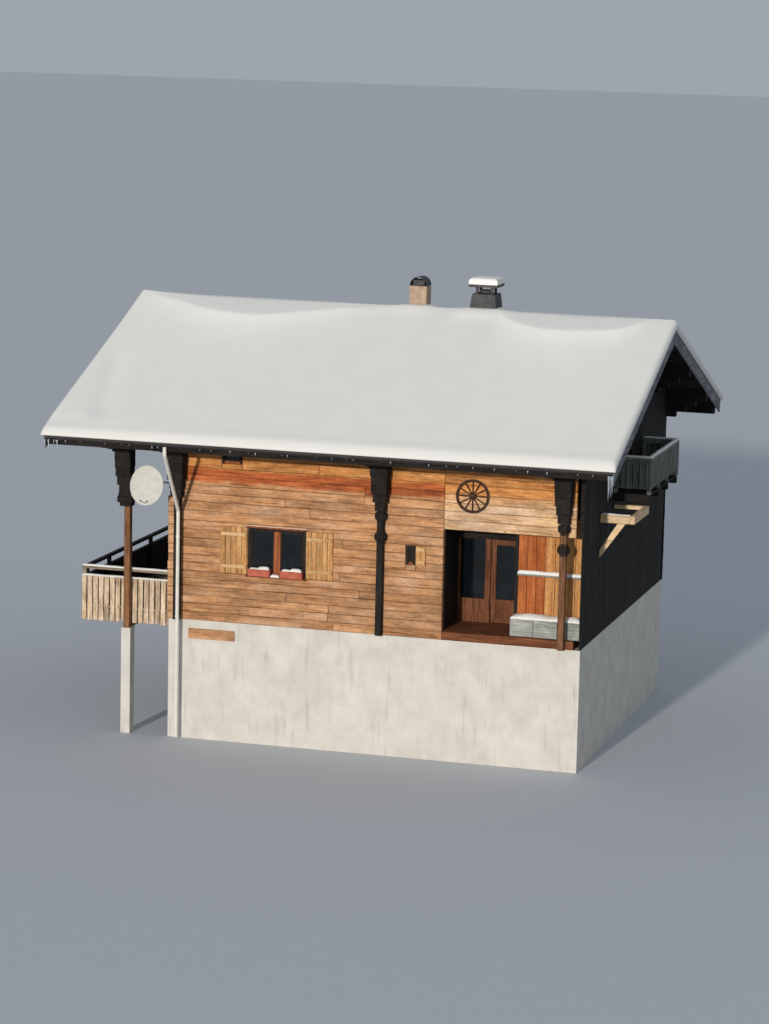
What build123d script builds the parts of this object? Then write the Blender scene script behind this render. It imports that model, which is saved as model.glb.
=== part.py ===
from build123d import *
from math import cos, radians, sin, tan
import os

# Alpine chalet: a masonry cellar storey, a timber main storey with a recessed
# porch and a side gallery, an attic with a gable balcony, and a wide purlin roof
# under snow. Millimetres. X runs along the ridge, Y from the front to the back,
# Z up from the lowest ground. Working frame: x = 0 at the left gable's outer face,
# y = 0 at the front wall's outer face. The finished pieces are moved so that the
# origin lies under the middle of the roof.

# Body
BODY_LENGTH = 10400
BODY_DEPTH = 9700
BASE_HEIGHT = 3000
BASE_WALL = 450
TIMBER_WALL = 180
CORNER_REACH = 60
CORNER_GAP = 5
CORNER_OUTWARD = 30
MAIN_FLOOR = 200
UPPER_FLOOR_TOP = 6350
UPPER_FLOOR = 220

# Roof
PITCH = 21
EAVE_HEIGHT = 7700
OVERHANG_LEFT = 2540
OVERHANG_RIGHT = 1085
OVERHANG_FRONT = 1900
OVERHANG_BACK = 1780
COVER = 40
ROOF_BOARDS = 30
RAFTER_DEPTH = 165
RAFTER_WIDTH = 120
RAFTER_BAYS = 12
COVER_LIP = 60
BARGE_THICKNESS = 35
BARGE_DEPTH = 290
EAVE_BOARD = 30
EAVE_BOARD_DEPTH = 210
GUTTER_RADIUS = 62
GUTTER_WALL = 4
SNOW_DEPTH = 235
SNOW_EAVE_LIP = 140
SNOW_VERGE_LIP = 60
SNOW_ROLL = 150

# Roof timbers
PURLIN_WIDTH = 200
PURLIN_DEPTH = 260
EAVE_PURLIN_REACH = 1180
MID_PURLIN_SHARE = 0.5
CORBEL_STEPS = 3
CORBEL_STEP_REACH = 260
CORBEL_STEP_DEPTH = 150

# Consoles and posts
CONSOLE_WIDTH = 460
CONSOLE_WAIST_WIDTH = 390
CONSOLE_FOOT_WIDTH = 240
CONSOLE_WAIST_SHARE = 0.4
CONSOLE_DROP = 1360
CONSOLE_FOOT = 190
CONSOLE_NOSE = 90
CONSOLE_THROAT = 380
CONSOLE_THROAT_DROP = 290
CONSOLE_SWEEP = 60
CONSOLE_BELLY = 40
POST = 160
KNOB_RADIUS = 155
KNOB_HEIGHT = 190
KNOB_ROUNDING = 75
KNOB_DROP = 130
KNOB_SPACING = 510
KNOBS = 2
POST_LEFT_X = 235
POST_MIDDLE_INSET = 4980
POST_RIGHT_INSET = 460
GALLERY_POST_X = -1110
GALLERY_POST_SETBACK = 10
PIER = 240
PIER_DEPTH = 260
PIER_LIP = 40
CAPITAL = 400
CAPITAL_LIP = 20
CAPITAL_HEIGHT = 330

# Main window, its shutters and the small windows, on the front wall
WINDOW_X = 2030
WINDOW_WIDTH = 1485
WINDOW_HEIGHT = 1170
WINDOW_SILL = 4240
FRAME = 65
FRAME_DEPTH = 70
FRAME_SETBACK = 40
MULLION = 170
GLASS = 12
SHUTTER_WIDTH = 690
SHUTTER = 32
SHUTTER_GAP = 12
BATTEN_DEPTH = 90
BATTEN = 24
BATTEN_SHARE = 0.16
ATTIC_WINDOW_X = 1330
ATTIC_WINDOW_WIDTH = 530
ATTIC_WINDOW_HEIGHT = 560
ATTIC_WINDOW_DROP = 414
SMALL_WINDOW_INSET = 4370
SMALL_WINDOW_WIDTH = 250
SMALL_WINDOW_SILL = 4780
SMALL_WINDOW_HEIGHT = 470
BACK_WINDOW_INSET = 3600
FLOWER_BOX_LENGTH = 560
FLOWER_BOX_HEIGHT = 170
FLOWER_BOX_DEPTH = 180
FLOWER_BOX_TAPER = 20
SILL = 30
SILL_REACH = 150
SILL_EARS = 20

# Porch
PORCH_INSET = 3430
PORCH_WIDTH = 1650
PORCH_DEPTH = 1450
PORCH_HEAD = 5710
PORCH_FRAME = 110
PORCH_POST = 130
PORCH_JAMB = 60
RETURN_WALL = 90
PORCH_SIDE = 40
SCREEN_SETBACK = 500
SCREEN = 60
SCREEN_SPLIT = 750
SCREEN_LEDGE_Z = 4650
SCREEN_LEDGE = 45
SCREEN_LEDGE_REACH = 110
BENCH_HEIGHT = 430
BENCH_DEPTH = 360
BENCH_BOARD = 28
DOOR_WIDTH = 780
DOOR_HEIGHT = 2060
DOOR_THICKNESS = 56
DOOR_GAP = 8
DOOR_RAIL = 130
DOOR_KICK = 580
HINGE_RADIUS = 9
HINGE_HEIGHT = 60
HINGE_LIFT = 1
HINGE_LEAF = 3
HINGE_WIDTH = 45
HINGE_GAP = 0.3
HINGE_LOW = 250
HINGE_HIGH = 1700
HANDLE_HEIGHT = 1020
HANDLE_REACH = 55
HANDLE_LENGTH = 120
HANDLE_RADIUS = 10
HANDLE_PLATE = 6
HANDLE_PLATE_WIDTH = 40
HANDLE_PLATE_HEIGHT = 150

# Gallery on the left gable
GALLERY_REACH = 2350
GALLERY_FLOOR = 3050
JOIST_WIDTH = 140
JOIST_DEPTH = 160
DECK_BOARD = 40
RAIL_TOP = 4120
RAIL_HEAD = 70
RAIL_DEPTH = 70
RAIL_WIDTH = 90
RAIL_POST = 100
SLAT_WIDTH = 105
SLAT_GAP = 38
SLAT = 28
SLAT_TOP = 3880
SLAT_BOTTOM = 2745
GALLERY_BEAM = 180
GALLERY_JOISTS = 8

# Balcony on the right gable
BALCONY_START = 3140
BALCONY_LENGTH = 3530
BALCONY_REACH = 940
BALCONY_FLOOR = 6340
BALCONY_RAIL_TOP = 7250
BALCONY_SLAT_BOTTOM = 6470
BALCONY_JOISTS = 4

# Pale bracket frame beside the balcony
BRACKET_START = 1790
BRACKET_LENGTH = 1700
BRACKET_REACH = 850
BRACKET_DROP = 320
BRACKET_TIMBER = 120
BRACKET_DEPTH = 200
BRACKET_FAR_DEPTH = 100
BRACKET_BRACE_INSET = 230
BRACKET_BRACE_DROP = 870
BRACKET_BRACE = 140

# Doors onto the gallery and the balcony
GABLE_DOOR_WIDTH = 950
GABLE_DOOR_HEIGHT = 2050
GALLERY_DOOR_Y = 3300
BALCONY_DOOR_Y = 4300
GABLE_WINDOW_Y = 6100

# Chimneys
CHIMNEY_LEFT_X = 4820
CHIMNEY_RIGHT_X = 6550
CHIMNEY_WIDTH = 450
CHIMNEY_DEPTH = 430
CHIMNEY_RISE = 732
CHIMNEY_BACKSET = 150
CHIMNEY_CLEAR = 0.3
HOOD_RISE = 230
HOOD_WALL = 8
FLARE_WIDTH = 680
FLARE_TOP_WIDTH = 600
FLARE_DROP = 120
FLARE_LIFT = 5
LEG = 65
LEG_HEIGHT = 180
CAP_WIDTH = 740
CAP_THICKNESS = 70
CAP_SNOW = 160
CAP_SNOW_ROUNDING = 96

# Fittings
WHEEL_INSET = 2730
WHEEL_Z = 6560
WHEEL_RADIUS = 410
WHEEL_RIM = 55
WHEEL_HUB = 75
WHEEL_SPOKES = 12
WHEEL_THICKNESS = 60
SPOKE = 28
DISH_RADIUS = 485
DISH_SQUASH = 0.88
DISH_DEPTH = 90
DISH_WALL = 8
DISH_X = -380
DISH_Y = -560
DISH_Z = 6360
DISH_TILT = 12
DISH_ARM_RADIUS = 12
DISH_ARM_ROOT = 435
DISH_ARM_TIP = 388
DISH_MAST_RADIUS = 22
DISH_MAST_Y = 70
DISH_BEND = 120
LNB_RADIUS = 28
LNB_LENGTH = 110
PIPE_RADIUS = 45
PIPE_X = 300
PIPE_OUTLET_X = 560
PIPE_KNEE_Z = 5740
PIPE_END_Z = 60
PIPE_DROP = 190
PIPE_BEND = 90
PIPE_CLIP = 20
PIPE_CLIPS = 4
BOARD_X = 530
BOARD_LENGTH = 1190
BOARD_DROP = 460
BOARD_HEIGHT = 250
BOARD = 40

# Worked out from the sizes above
SLOPE = tan(radians(PITCH))
UPRIGHT = 1 / cos(radians(PITCH))
FRONT_EAVE = -OVERHANG_FRONT
BACK_EAVE = BODY_DEPTH + OVERHANG_BACK
RIDGE_Y = (FRONT_EAVE + BACK_EAVE) / 2
ROOF_X0 = -OVERHANG_LEFT
ROOF_X1 = BODY_LENGTH + OVERHANG_RIGHT
ROOF_MIDDLE_X = (ROOF_X0 + ROOF_X1) / 2
FLOOR_TOP = BASE_HEIGHT + MAIN_FLOOR
CEILING = UPPER_FLOOR_TOP - UPPER_FLOOR
INNER_X0 = TIMBER_WALL
INNER_X1 = BODY_LENGTH - TIMBER_WALL
INNER_Y0 = TIMBER_WALL
INNER_Y1 = BODY_DEPTH - TIMBER_WALL
BOARDS_BELOW = COVER
RAFTERS_BELOW = COVER + ROOF_BOARDS
PURLINS_BELOW = RAFTERS_BELOW + RAFTER_DEPTH
MID_PURLIN_FRONT = RIDGE_Y * (1 - MID_PURLIN_SHARE)
MID_PURLIN_BACK = 2 * RIDGE_Y - MID_PURLIN_FRONT
PLATE_FRONT = TIMBER_WALL / 2
PLATE_BACK = BODY_DEPTH - TIMBER_WALL / 2
EAVE_PURLIN_FRONT = -EAVE_PURLIN_REACH
EAVE_PURLIN_BACK = BODY_DEPTH + EAVE_PURLIN_REACH
RIDGE_TOP = EAVE_HEIGHT + (RIDGE_Y - FRONT_EAVE) * SLOPE
CHIMNEY_TOP = RIDGE_TOP + CHIMNEY_RISE
FLARE_TOP = CHIMNEY_TOP - FLARE_DROP
POST_MIDDLE_X = BODY_LENGTH - POST_MIDDLE_INSET
POST_RIGHT_X = BODY_LENGTH - POST_RIGHT_INSET
CORNER_EDGE = POST_LEFT_X - POST / 2 - CORNER_GAP
SMALL_WINDOW_X = BODY_LENGTH - SMALL_WINDOW_INSET
BACK_WINDOW_X = BODY_LENGTH - BACK_WINDOW_INSET
WHEEL_X = BODY_LENGTH - WHEEL_INSET
PORCH_X = BODY_LENGTH - PORCH_INSET
PORCH_END = PORCH_X + PORCH_WIDTH
PORCH_SIDE_X = BODY_LENGTH - PORCH_SIDE
CHIMNEY_Y0 = RIDGE_Y + CHIMNEY_BACKSET
JOIST_TOP = GALLERY_FLOOR - DECK_BOARD
JOIST_BOTTOM = JOIST_TOP - JOIST_DEPTH
PIER_TOP = JOIST_BOTTOM - GALLERY_BEAM
GALLERY_Y0 = POST - GALLERY_POST_SETBACK
GALLERY_Y1 = BODY_DEPTH - GALLERY_Y0

os.makedirs("parts", exist_ok=True)


def save(name, shape):
    """Moves a finished piece into the roof-centred frame and writes it."""
    export_step(Pos(-ROOF_MIDDLE_X, -RIDGE_Y, 0) * shape, "parts/" + name + ".step")


def block(x0, x1, y0, y1, z0, z1):
    """A squared piece between two corners."""
    middle = Pos((x0 + x1) / 2, (y0 + y1) / 2, (z0 + z1) / 2)
    return middle * Box(x1 - x0, y1 - y0, z1 - z0)


def across_x(outline, x0, x1):
    """A piece with one outline in Y and Z, running along X."""
    face = Plane.YZ * make_face(Polyline(*outline, close=True))
    return Pos(x0, 0, 0) * extrude(face, amount=x1 - x0)


def across_y(outline, y0, y1):
    """A piece with one outline in X and Z, running along Y."""
    face = Plane.XZ * make_face(Polyline(*outline, close=True))
    return Pos(0, y0, 0) * extrude(face, amount=-(y1 - y0))


def roof_z(y, below=0):
    """Height of the roof covering at y, or of a layer that far below it."""
    across = (BACK_EAVE - FRONT_EAVE) / 2 - abs(y - RIDGE_Y)
    return EAVE_HEIGHT + SLOPE * across - below * UPRIGHT


def roof_layer(y_eave, x0, x1, top, bottom):
    """One slope of a roof layer, from its eave edge up to the ridge."""
    outline = [
        (y_eave, roof_z(y_eave, bottom)),
        (RIDGE_Y, roof_z(RIDGE_Y, bottom)),
        (RIDGE_Y, roof_z(RIDGE_Y, top)),
        (y_eave, roof_z(y_eave, top)),
    ]
    return across_x(outline, x0, x1)


def opening(x0, width, sill, height):
    """What a window or door in the front or back wall takes out of it."""
    return block(x0, x0 + width, -BODY_DEPTH, 2 * BODY_DEPTH, sill, sill + height)


def side_opening(y0, width, sill, height):
    """The same in a gable wall."""
    return block(-BODY_LENGTH, 2 * BODY_LENGTH, y0, y0 + width, sill, sill + height)


def chimney_holes():
    """Room for both chimneys where they pass the floors, boards and snow."""
    holes = []
    for x in (CHIMNEY_LEFT_X, CHIMNEY_RIGHT_X):
        holes.append(
            block(
                x - CHIMNEY_WIDTH / 2 - CHIMNEY_CLEAR,
                x + CHIMNEY_WIDTH / 2 + CHIMNEY_CLEAR,
                CHIMNEY_Y0 - CHIMNEY_CLEAR,
                CHIMNEY_Y0 + CHIMNEY_DEPTH + CHIMNEY_CLEAR,
                BASE_HEIGHT,
                CHIMNEY_TOP,
            )
        )
    return holes


def base_walls():
    """The rendered masonry storey, from the lowest ground to the timber."""
    top = BASE_HEIGHT
    long, side = [], []
    for y0 in (0, BODY_DEPTH - BASE_WALL):
        long.append(block(0, BODY_LENGTH, y0, y0 + BASE_WALL, 0, top))
    for x0 in (0, BODY_LENGTH - BASE_WALL):
        wall = block(x0, x0 + BASE_WALL, BASE_WALL, BODY_DEPTH - BASE_WALL, 0, top)
        side.append(wall)
    save("base_long_walls", Compound(long))
    save("base_side_walls", Compound(side))
    low = BASE_HEIGHT - BOARD_DROP
    board = block(BOARD_X, BOARD_X + BOARD_LENGTH, -BOARD, 0, low, low + BOARD_HEIGHT)
    save("cellar_board", board)


def floors():
    """The main floor on the masonry, the attic floor and the porch sill beam."""
    main = block(INNER_X0, INNER_X1, INNER_Y0, INNER_Y1, BASE_HEIGHT, FLOOR_TOP)
    attic = block(INNER_X0, INNER_X1, INNER_Y0, INNER_Y1, CEILING, UPPER_FLOOR_TOP)
    for hole in chimney_holes():
        main -= hole
        attic -= hole
    save("main_floor", main)
    save("attic_floor", attic)
    save(
        "porch_sill_beam",
        block(PORCH_X, INNER_X1, 0, TIMBER_WALL, BASE_HEIGHT, FLOOR_TOP),
    )


def purlin_top(y):
    return roof_z(y, PURLINS_BELOW)


def purlin(y, x0, x1):
    """A roof timber whose top is bevelled to the rafters that lie on it."""
    low, high = y - PURLIN_WIDTH / 2, y + PURLIN_WIDTH / 2
    bottom = purlin_bottom(y)
    outline = [(low, bottom), (high, bottom), (high, purlin_top(high))]
    if low < RIDGE_Y < high:
        outline.append((RIDGE_Y, purlin_top(RIDGE_Y)))
    outline.append((low, purlin_top(low)))
    return across_x(outline, x0, x1)


def purlin_bottom(y):
    low, high = y - PURLIN_WIDTH / 2, y + PURLIN_WIDTH / 2
    return min(purlin_top(low), purlin_top(high)) - PURLIN_DEPTH


CONSOLE_FOOT_Z = purlin_bottom(EAVE_PURLIN_FRONT) - CONSOLE_DROP
CONSOLE_FOOT_BACK_Z = purlin_bottom(EAVE_PURLIN_BACK) - CONSOLE_DROP
WALL_TOP = purlin_bottom(PLATE_FRONT)
ATTIC_WINDOW_SILL = WALL_TOP - ATTIC_WINDOW_DROP - ATTIC_WINDOW_HEIGHT


def purlin_lines():
    """Names and places of the seven lengthwise roof timbers."""
    return [
        ("front_eave_purlin", EAVE_PURLIN_FRONT),
        ("front_wall_plate", PLATE_FRONT),
        ("front_mid_purlin", MID_PURLIN_FRONT),
        ("ridge_purlin", RIDGE_Y),
        ("back_mid_purlin", MID_PURLIN_BACK),
        ("back_wall_plate", PLATE_BACK),
        ("back_eave_purlin", EAVE_PURLIN_BACK),
    ]


def all_purlins():
    x0, x1 = ROOF_X0 + BARGE_THICKNESS, ROOF_X1 - BARGE_THICKNESS
    return {name: purlin(y, x0, x1) for name, y in purlin_lines()}


def roof_timbers():
    """Purlins out to the verges, on stepped log ends that jut from the gables."""
    lines = all_purlins()
    inner = [name for name in lines if "eave" not in name]
    save("roof_purlins", Compound(list(lines.values())))
    ends = []
    for name, y in purlin_lines():
        if name in inner:
            ends.append(corbel(y, 0, -1))
            ends.append(corbel(y, BODY_LENGTH, 1))
    save("purlin_corbels", Compound(ends))


def corbel(y, x_wall, outward):
    """Log ends under a purlin, each jutting a step less than the one above."""
    top = purlin_bottom(y)
    outline = [(x_wall, top)]
    for step in range(CORBEL_STEPS):
        reach = (CORBEL_STEPS - step) * CORBEL_STEP_REACH * outward
        outline.append((x_wall + reach, top - step * CORBEL_STEP_DEPTH))
        outline.append((x_wall + reach, top - (step + 1) * CORBEL_STEP_DEPTH))
    outline.append((x_wall, top - CORBEL_STEPS * CORBEL_STEP_DEPTH))
    return across_y(outline, y - PURLIN_WIDTH / 2, y + PURLIN_WIDTH / 2)


def rafters():
    """Pairs of rafters at even spacing, cut plumb at the eave boards."""
    first = ROOF_X0 + BARGE_THICKNESS
    last = ROOF_X1 - BARGE_THICKNESS - RAFTER_WIDTH
    slopes = (
        ("front_rafters", FRONT_EAVE + EAVE_BOARD),
        ("back_rafters", BACK_EAVE - EAVE_BOARD),
    )
    for name, y_eave in slopes:
        pieces = []
        for bay in range(RAFTER_BAYS + 1):
            x = first + (last - first) * bay / RAFTER_BAYS
            rafter = roof_layer(
                y_eave, x, x + RAFTER_WIDTH, RAFTERS_BELOW, PURLINS_BELOW
            )
            for hole in chimney_holes():
                rafter -= hole
            pieces.extend(rafter.solids())
        save(name, Compound(pieces))


def roof_skin():
    """Boards, dark covering, ridge cap, verge and eave boards, and gutters."""
    x0, x1 = ROOF_X0 + BARGE_THICKNESS, ROOF_X1 - BARGE_THICKNESS
    holes = chimney_holes()
    sides = (("front", FRONT_EAVE, 1), ("back", BACK_EAVE, -1))
    for side, eave, inward in sides:
        boards = roof_layer(
            eave + inward * EAVE_BOARD, x0, x1, BOARDS_BELOW, RAFTERS_BELOW
        )
        cover = roof_layer(eave - inward * COVER_LIP, ROOF_X0, ROOF_X1, 0, COVER)
        for hole in holes:
            boards -= hole
            cover -= hole
        save(side + "_roof_boards", boards)
        save(side + "_roof_cover", cover)
    save("eave_boards", Compound([eave_board(e, i) for _, e, i in sides]))
    save("gutters", Compound([gutter(e, i) for _, e, i in sides]))
    for side, eave, _ in sides:
        barges = []
        for x in (ROOF_X0, x1):
            end = x + BARGE_THICKNESS
            barges.append(roof_layer(eave, x, end, COVER, COVER + BARGE_DEPTH))
        save(side + "_barge_boards", Compound(barges))


def eave_board(eave, inward):
    """The plumb board over the rafter ends."""
    top = roof_z(eave, COVER)
    bottom = top - EAVE_BOARD_DEPTH
    inner = eave + inward * EAVE_BOARD
    outline = [(eave, bottom), (inner, bottom), (inner, roof_z(inner, COVER))]
    outline.append((eave, top))
    return across_x(outline, ROOF_X0 + BARGE_THICKNESS, ROOF_X1 - BARGE_THICKNESS)


def gutter(eave, inward):
    """A half-round gutter, open upwards, held against the eave board."""
    outer = GUTTER_RADIUS
    centre_y = eave - inward * outer
    centre_z = roof_z(eave - inward * COVER_LIP, COVER) - GUTTER_WALL
    profile = Circle(outer) - Circle(outer - GUTTER_WALL)
    profile -= Pos(0, outer) * Rectangle(2 * outer, 2 * outer)
    section = Plane.YZ * profile
    length = ROOF_X1 - ROOF_X0 - 2 * BARGE_THICKNESS
    return Pos(ROOF_X0 + BARGE_THICKNESS, centre_y, centre_z) * extrude(
        section, amount=length
    )


def snow_slope(eave, inward, x0, x1):
    """Snow on one slope, rolled over at the eave and the verges."""
    edge = eave - inward * SNOW_EAVE_LIP
    snow = roof_layer(edge, x0, x1, -SNOW_DEPTH, 0)
    rim = []
    for edge in snow.edges():
        middle = edge.center()
        on_top = middle.Z > roof_z(middle.Y, -SNOW_DEPTH / 2)
        if on_top and abs(middle.Y - RIDGE_Y) > SNOW_ROLL:
            rim.append(edge)
    snow = fillet(rim, SNOW_ROLL)
    for hole in chimney_holes():
        snow -= hole
    return snow


def roof_snow():
    x0, x1 = ROOF_X0 - SNOW_VERGE_LIP, ROOF_X1 + SNOW_VERGE_LIP
    save("front_roof_snow", snow_slope(FRONT_EAVE, 1, x0, x1))
    save("back_roof_snow", snow_slope(BACK_EAVE, -1, x0, x1))


def front_openings():
    """The front wall's windows as left edge, width, sill and height."""
    return [
        (WINDOW_X, WINDOW_WIDTH, WINDOW_SILL, WINDOW_HEIGHT),
        (SMALL_WINDOW_X, SMALL_WINDOW_WIDTH, SMALL_WINDOW_SILL, SMALL_WINDOW_HEIGHT),
        (ATTIC_WINDOW_X, ATTIC_WINDOW_WIDTH, ATTIC_WINDOW_SILL, ATTIC_WINDOW_HEIGHT),
    ]


def back_openings():
    """The unseen back wall repeats the front's windows on both storeys."""
    rows = []
    for x in (WINDOW_X, BACK_WINDOW_X):
        middle = x + (WINDOW_WIDTH - ATTIC_WINDOW_WIDTH) / 2
        rows.append((x, WINDOW_WIDTH, WINDOW_SILL, WINDOW_HEIGHT))
        rows.append((middle, ATTIC_WINDOW_WIDTH, ATTIC_WINDOW_SILL, ATTIC_WINDOW_HEIGHT))
    return rows


def left_openings():
    """The left gable: the gallery door and a window."""
    return [
        (GALLERY_DOOR_Y, GABLE_DOOR_WIDTH, FLOOR_TOP, GABLE_DOOR_HEIGHT),
        (GABLE_WINDOW_Y, WINDOW_WIDTH, WINDOW_SILL, WINDOW_HEIGHT),
    ]


def right_openings():
    """The right gable: the balcony door."""
    return [(BALCONY_DOOR_Y, GABLE_DOOR_WIDTH, UPPER_FLOOR_TOP, GABLE_DOOR_HEIGHT)]


def long_walls():
    """The front wall beside and over the porch, and the back wall."""
    front = block(INNER_X0, PORCH_X, 0, TIMBER_WALL, BASE_HEIGHT, WALL_TOP)
    for row in front_openings():
        front -= opening(*row)
    save("front_wall", front)
    over = block(PORCH_X, INNER_X1, 0, TIMBER_WALL, PORCH_HEAD, WALL_TOP)
    save("front_wall_over_porch", over)
    top = purlin_bottom(PLATE_BACK)
    back = block(INNER_X0, INNER_X1, INNER_Y1, BODY_DEPTH, BASE_HEIGHT, top)
    for row in back_openings():
        back -= opening(*row)
    save("back_wall", back)


def gable_wall(x0, openings):
    """A gable up to the rafters, notched for the purlins that pass it."""
    outline = [
        (0, BASE_HEIGHT),
        (BODY_DEPTH, BASE_HEIGHT),
        (BODY_DEPTH, purlin_top(BODY_DEPTH)),
        (RIDGE_Y, purlin_top(RIDGE_Y)),
        (0, purlin_top(0)),
    ]
    wall = across_x(outline, x0, x0 + TIMBER_WALL)
    for timber in all_purlins().values():
        wall -= timber
    for row in openings:
        wall -= side_opening(*row)
    return wall


def gables():
    """Both gables, the right one thinned beside the porch, and their log ends."""
    save("left_gable_wall", gable_wall(0, left_openings()))
    right = gable_wall(INNER_X1, right_openings())
    back = SCREEN_SETBACK + SCREEN
    right -= block(INNER_X1, PORCH_SIDE_X, 0, back, FLOOR_TOP, PORCH_HEAD)
    right -= block(INNER_X1, PORCH_SIDE_X, SCREEN_SETBACK, back, PORCH_HEAD, CEILING)
    save("right_gable_wall", right)
    under_corbels = WALL_TOP - CORBEL_STEPS * CORBEL_STEP_DEPTH
    near, far = (-CORNER_REACH, 0), (BODY_DEPTH, BODY_DEPTH + CORNER_REACH)
    left_x, right_x = (-CORNER_OUTWARD, CORNER_EDGE), (
        BODY_LENGTH - CORNER_EDGE,
        BODY_LENGTH + CORNER_OUTWARD,
    )
    strips = [
        block(*left_x, *near, BASE_HEIGHT, CONSOLE_FOOT_Z),
        block(*right_x, *near, PORCH_HEAD, under_corbels),
        block(*left_x, *far, BASE_HEIGHT, CONSOLE_FOOT_BACK_Z),
        block(*right_x, *far, BASE_HEIGHT, CONSOLE_FOOT_BACK_Z),
    ]
    save("corner_log_ends", Compound(strips))


def window_unit(width, sill, height, kick, mullion):
    """Frame and panes of one opening, drawn in X and Z with its face at y = 0."""
    frame = block(0, width, 0, FRAME_DEPTH, sill, sill + height)
    panes = []
    lights = 2 if mullion else 1
    clear = (width - 2 * FRAME - (MULLION if mullion else 0)) / lights
    for light in range(lights):
        x = FRAME + light * (clear + MULLION)
        low = sill + max(FRAME, kick)
        high = sill + height - FRAME
        frame -= block(x, x + clear, -FRAME, 2 * FRAME_DEPTH, low, high)
        middle = FRAME_DEPTH / 2
        panes.append(
            block(x, x + clear, middle - GLASS / 2, middle + GLASS / 2, low, high)
        )
    return frame, panes


def windows():
    """Frames and glass of every window, and of the doors in the gables."""
    frames, panes = [], []
    walls = (
        (front_openings(), Pos(0, FRAME_SETBACK, 0), False),
        (back_openings(), Pos(0, BODY_DEPTH - FRAME_SETBACK - FRAME_DEPTH, 0), False),
        (left_openings(), Pos(FRAME_SETBACK + FRAME_DEPTH, 0, 0), True),
        (right_openings(), Pos(BODY_LENGTH - FRAME_SETBACK, 0, 0), True),
    )
    for rows, place, turned in walls:
        for start, width, sill, height in rows:
            kick = DOOR_KICK if height == GABLE_DOOR_HEIGHT else 0
            frame, lights = window_unit(
                width, sill, height, kick, width == WINDOW_WIDTH
            )
            turn = Pos(0, start, 0) * Rot(0, 0, 90) if turned else Pos(start, 0, 0)
            frames.append(place * turn * frame)
            panes.extend(place * turn * pane for pane in lights)
    x0, x1 = WINDOW_X - SILL_EARS, WINDOW_X + WINDOW_WIDTH + SILL_EARS
    frames.append(block(x0, x1, -SILL_REACH, 0, WINDOW_SILL - SILL, WINDOW_SILL))
    panes.append(porch_side_light())
    save("window_frames", Compound(frames))
    save("window_glass", Compound(panes))


def shutter(width, height):
    """A boarded leaf with two ledges, its back at y = 0 and its face to -Y."""
    leaf = block(0, width, -SHUTTER, 0, 0, height)
    for share in (BATTEN_SHARE, 1 - BATTEN_SHARE):
        low = height * share - BATTEN_DEPTH / 2
        leaf += block(
            BATTEN, width - BATTEN, -SHUTTER - BATTEN, -SHUTTER, low, low + BATTEN_DEPTH
        )
    return leaf


def shutters():
    """Leaves folded open against the walls on both sides of the windows."""
    leaf = shutter(SHUTTER_WIDTH, WINDOW_HEIGHT)
    pieces = []
    left = WINDOW_X - SHUTTER_WIDTH - SHUTTER_GAP
    right = WINDOW_X + WINDOW_WIDTH + SHUTTER_GAP
    for x in (left, right):
        pieces.append(Pos(x, 0, WINDOW_SILL) * leaf)
    for start in (WINDOW_X, BACK_WINDOW_X):
        for x in (start - SHUTTER_GAP, start + WINDOW_WIDTH + SHUTTER_GAP + SHUTTER_WIDTH):
            place = Pos(x, BODY_DEPTH, WINDOW_SILL) * Rot(0, 0, 180)
            pieces.append(place * leaf)
    small = shutter(SMALL_WINDOW_WIDTH, SMALL_WINDOW_HEIGHT)
    x = SMALL_WINDOW_X + SMALL_WINDOW_WIDTH + SHUTTER_GAP
    pieces.append(Pos(x, 0, SMALL_WINDOW_SILL) * small)
    save("shutters", Compound(pieces))


def flower_boxes():
    """Two boxes of frozen earth on the sill of the main window."""
    boxes = []
    light = (WINDOW_WIDTH - MULLION) / 2
    for number in range(2):
        middle = WINDOW_X + light / 2 + number * (light + MULLION)
        outline = [
            (middle - FLOWER_BOX_LENGTH / 2 + FLOWER_BOX_TAPER, WINDOW_SILL),
            (middle + FLOWER_BOX_LENGTH / 2 - FLOWER_BOX_TAPER, WINDOW_SILL),
            (middle + FLOWER_BOX_LENGTH / 2, WINDOW_SILL + FLOWER_BOX_HEIGHT),
            (middle - FLOWER_BOX_LENGTH / 2, WINDOW_SILL + FLOWER_BOX_HEIGHT),
        ]
        boxes.append(across_y(outline, -SILL_REACH, FLOWER_BOX_DEPTH - SILL_REACH))
    save("flower_boxes", Compound(boxes))


def console(x, y_wall, outward, top):
    """A console under the eave purlin, drawn in Y and Z and slimmed to its foot."""
    reach = EAVE_PURLIN_REACH + PURLIN_WIDTH / 2
    foot_z = top - CONSOLE_DROP
    nose = (reach, top - CONSOLE_NOSE)
    foot = (CONSOLE_FOOT, foot_z)
    throat = (CONSOLE_THROAT, top - CONSOLE_THROAT_DROP)
    edges = Polyline((foot[0], foot_z), (0, foot_z), (0, top), (reach, top), nose)
    edges += sagging_arc(nose, throat, -CONSOLE_SWEEP)
    edges += sagging_arc(throat, foot, CONSOLE_BELLY)
    face = Plane.YZ * make_face(edges)
    if outward < 0:
        face = mirror(face, Plane.XZ)
    solid = extrude(face, amount=CONSOLE_WIDTH / 2, both=True)
    waist_z = foot_z + CONSOLE_WAIST_SHARE * CONSOLE_DROP
    half = [
        (CONSOLE_FOOT_WIDTH / 2, foot_z),
        (CONSOLE_WAIST_WIDTH / 2, waist_z),
        (CONSOLE_WIDTH / 2, top),
    ]
    front_view = half + [(-side, z) for side, z in reversed(half)]
    solid = solid & across_y(front_view, -reach, reach)
    return Pos(x, y_wall, 0) * solid


def sagging_arc(start, end, sag):
    """An arc between two points that bulges by sag, outward and down."""
    run, drop = end[0] - start[0], end[1] - start[1]
    length = (run**2 + drop**2) ** 0.5
    middle = (
        (start[0] + end[0]) / 2 - drop / length * sag,
        (start[1] + end[1]) / 2 + run / length * sag,
    )
    return ThreePointArc(start, middle, end)


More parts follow.
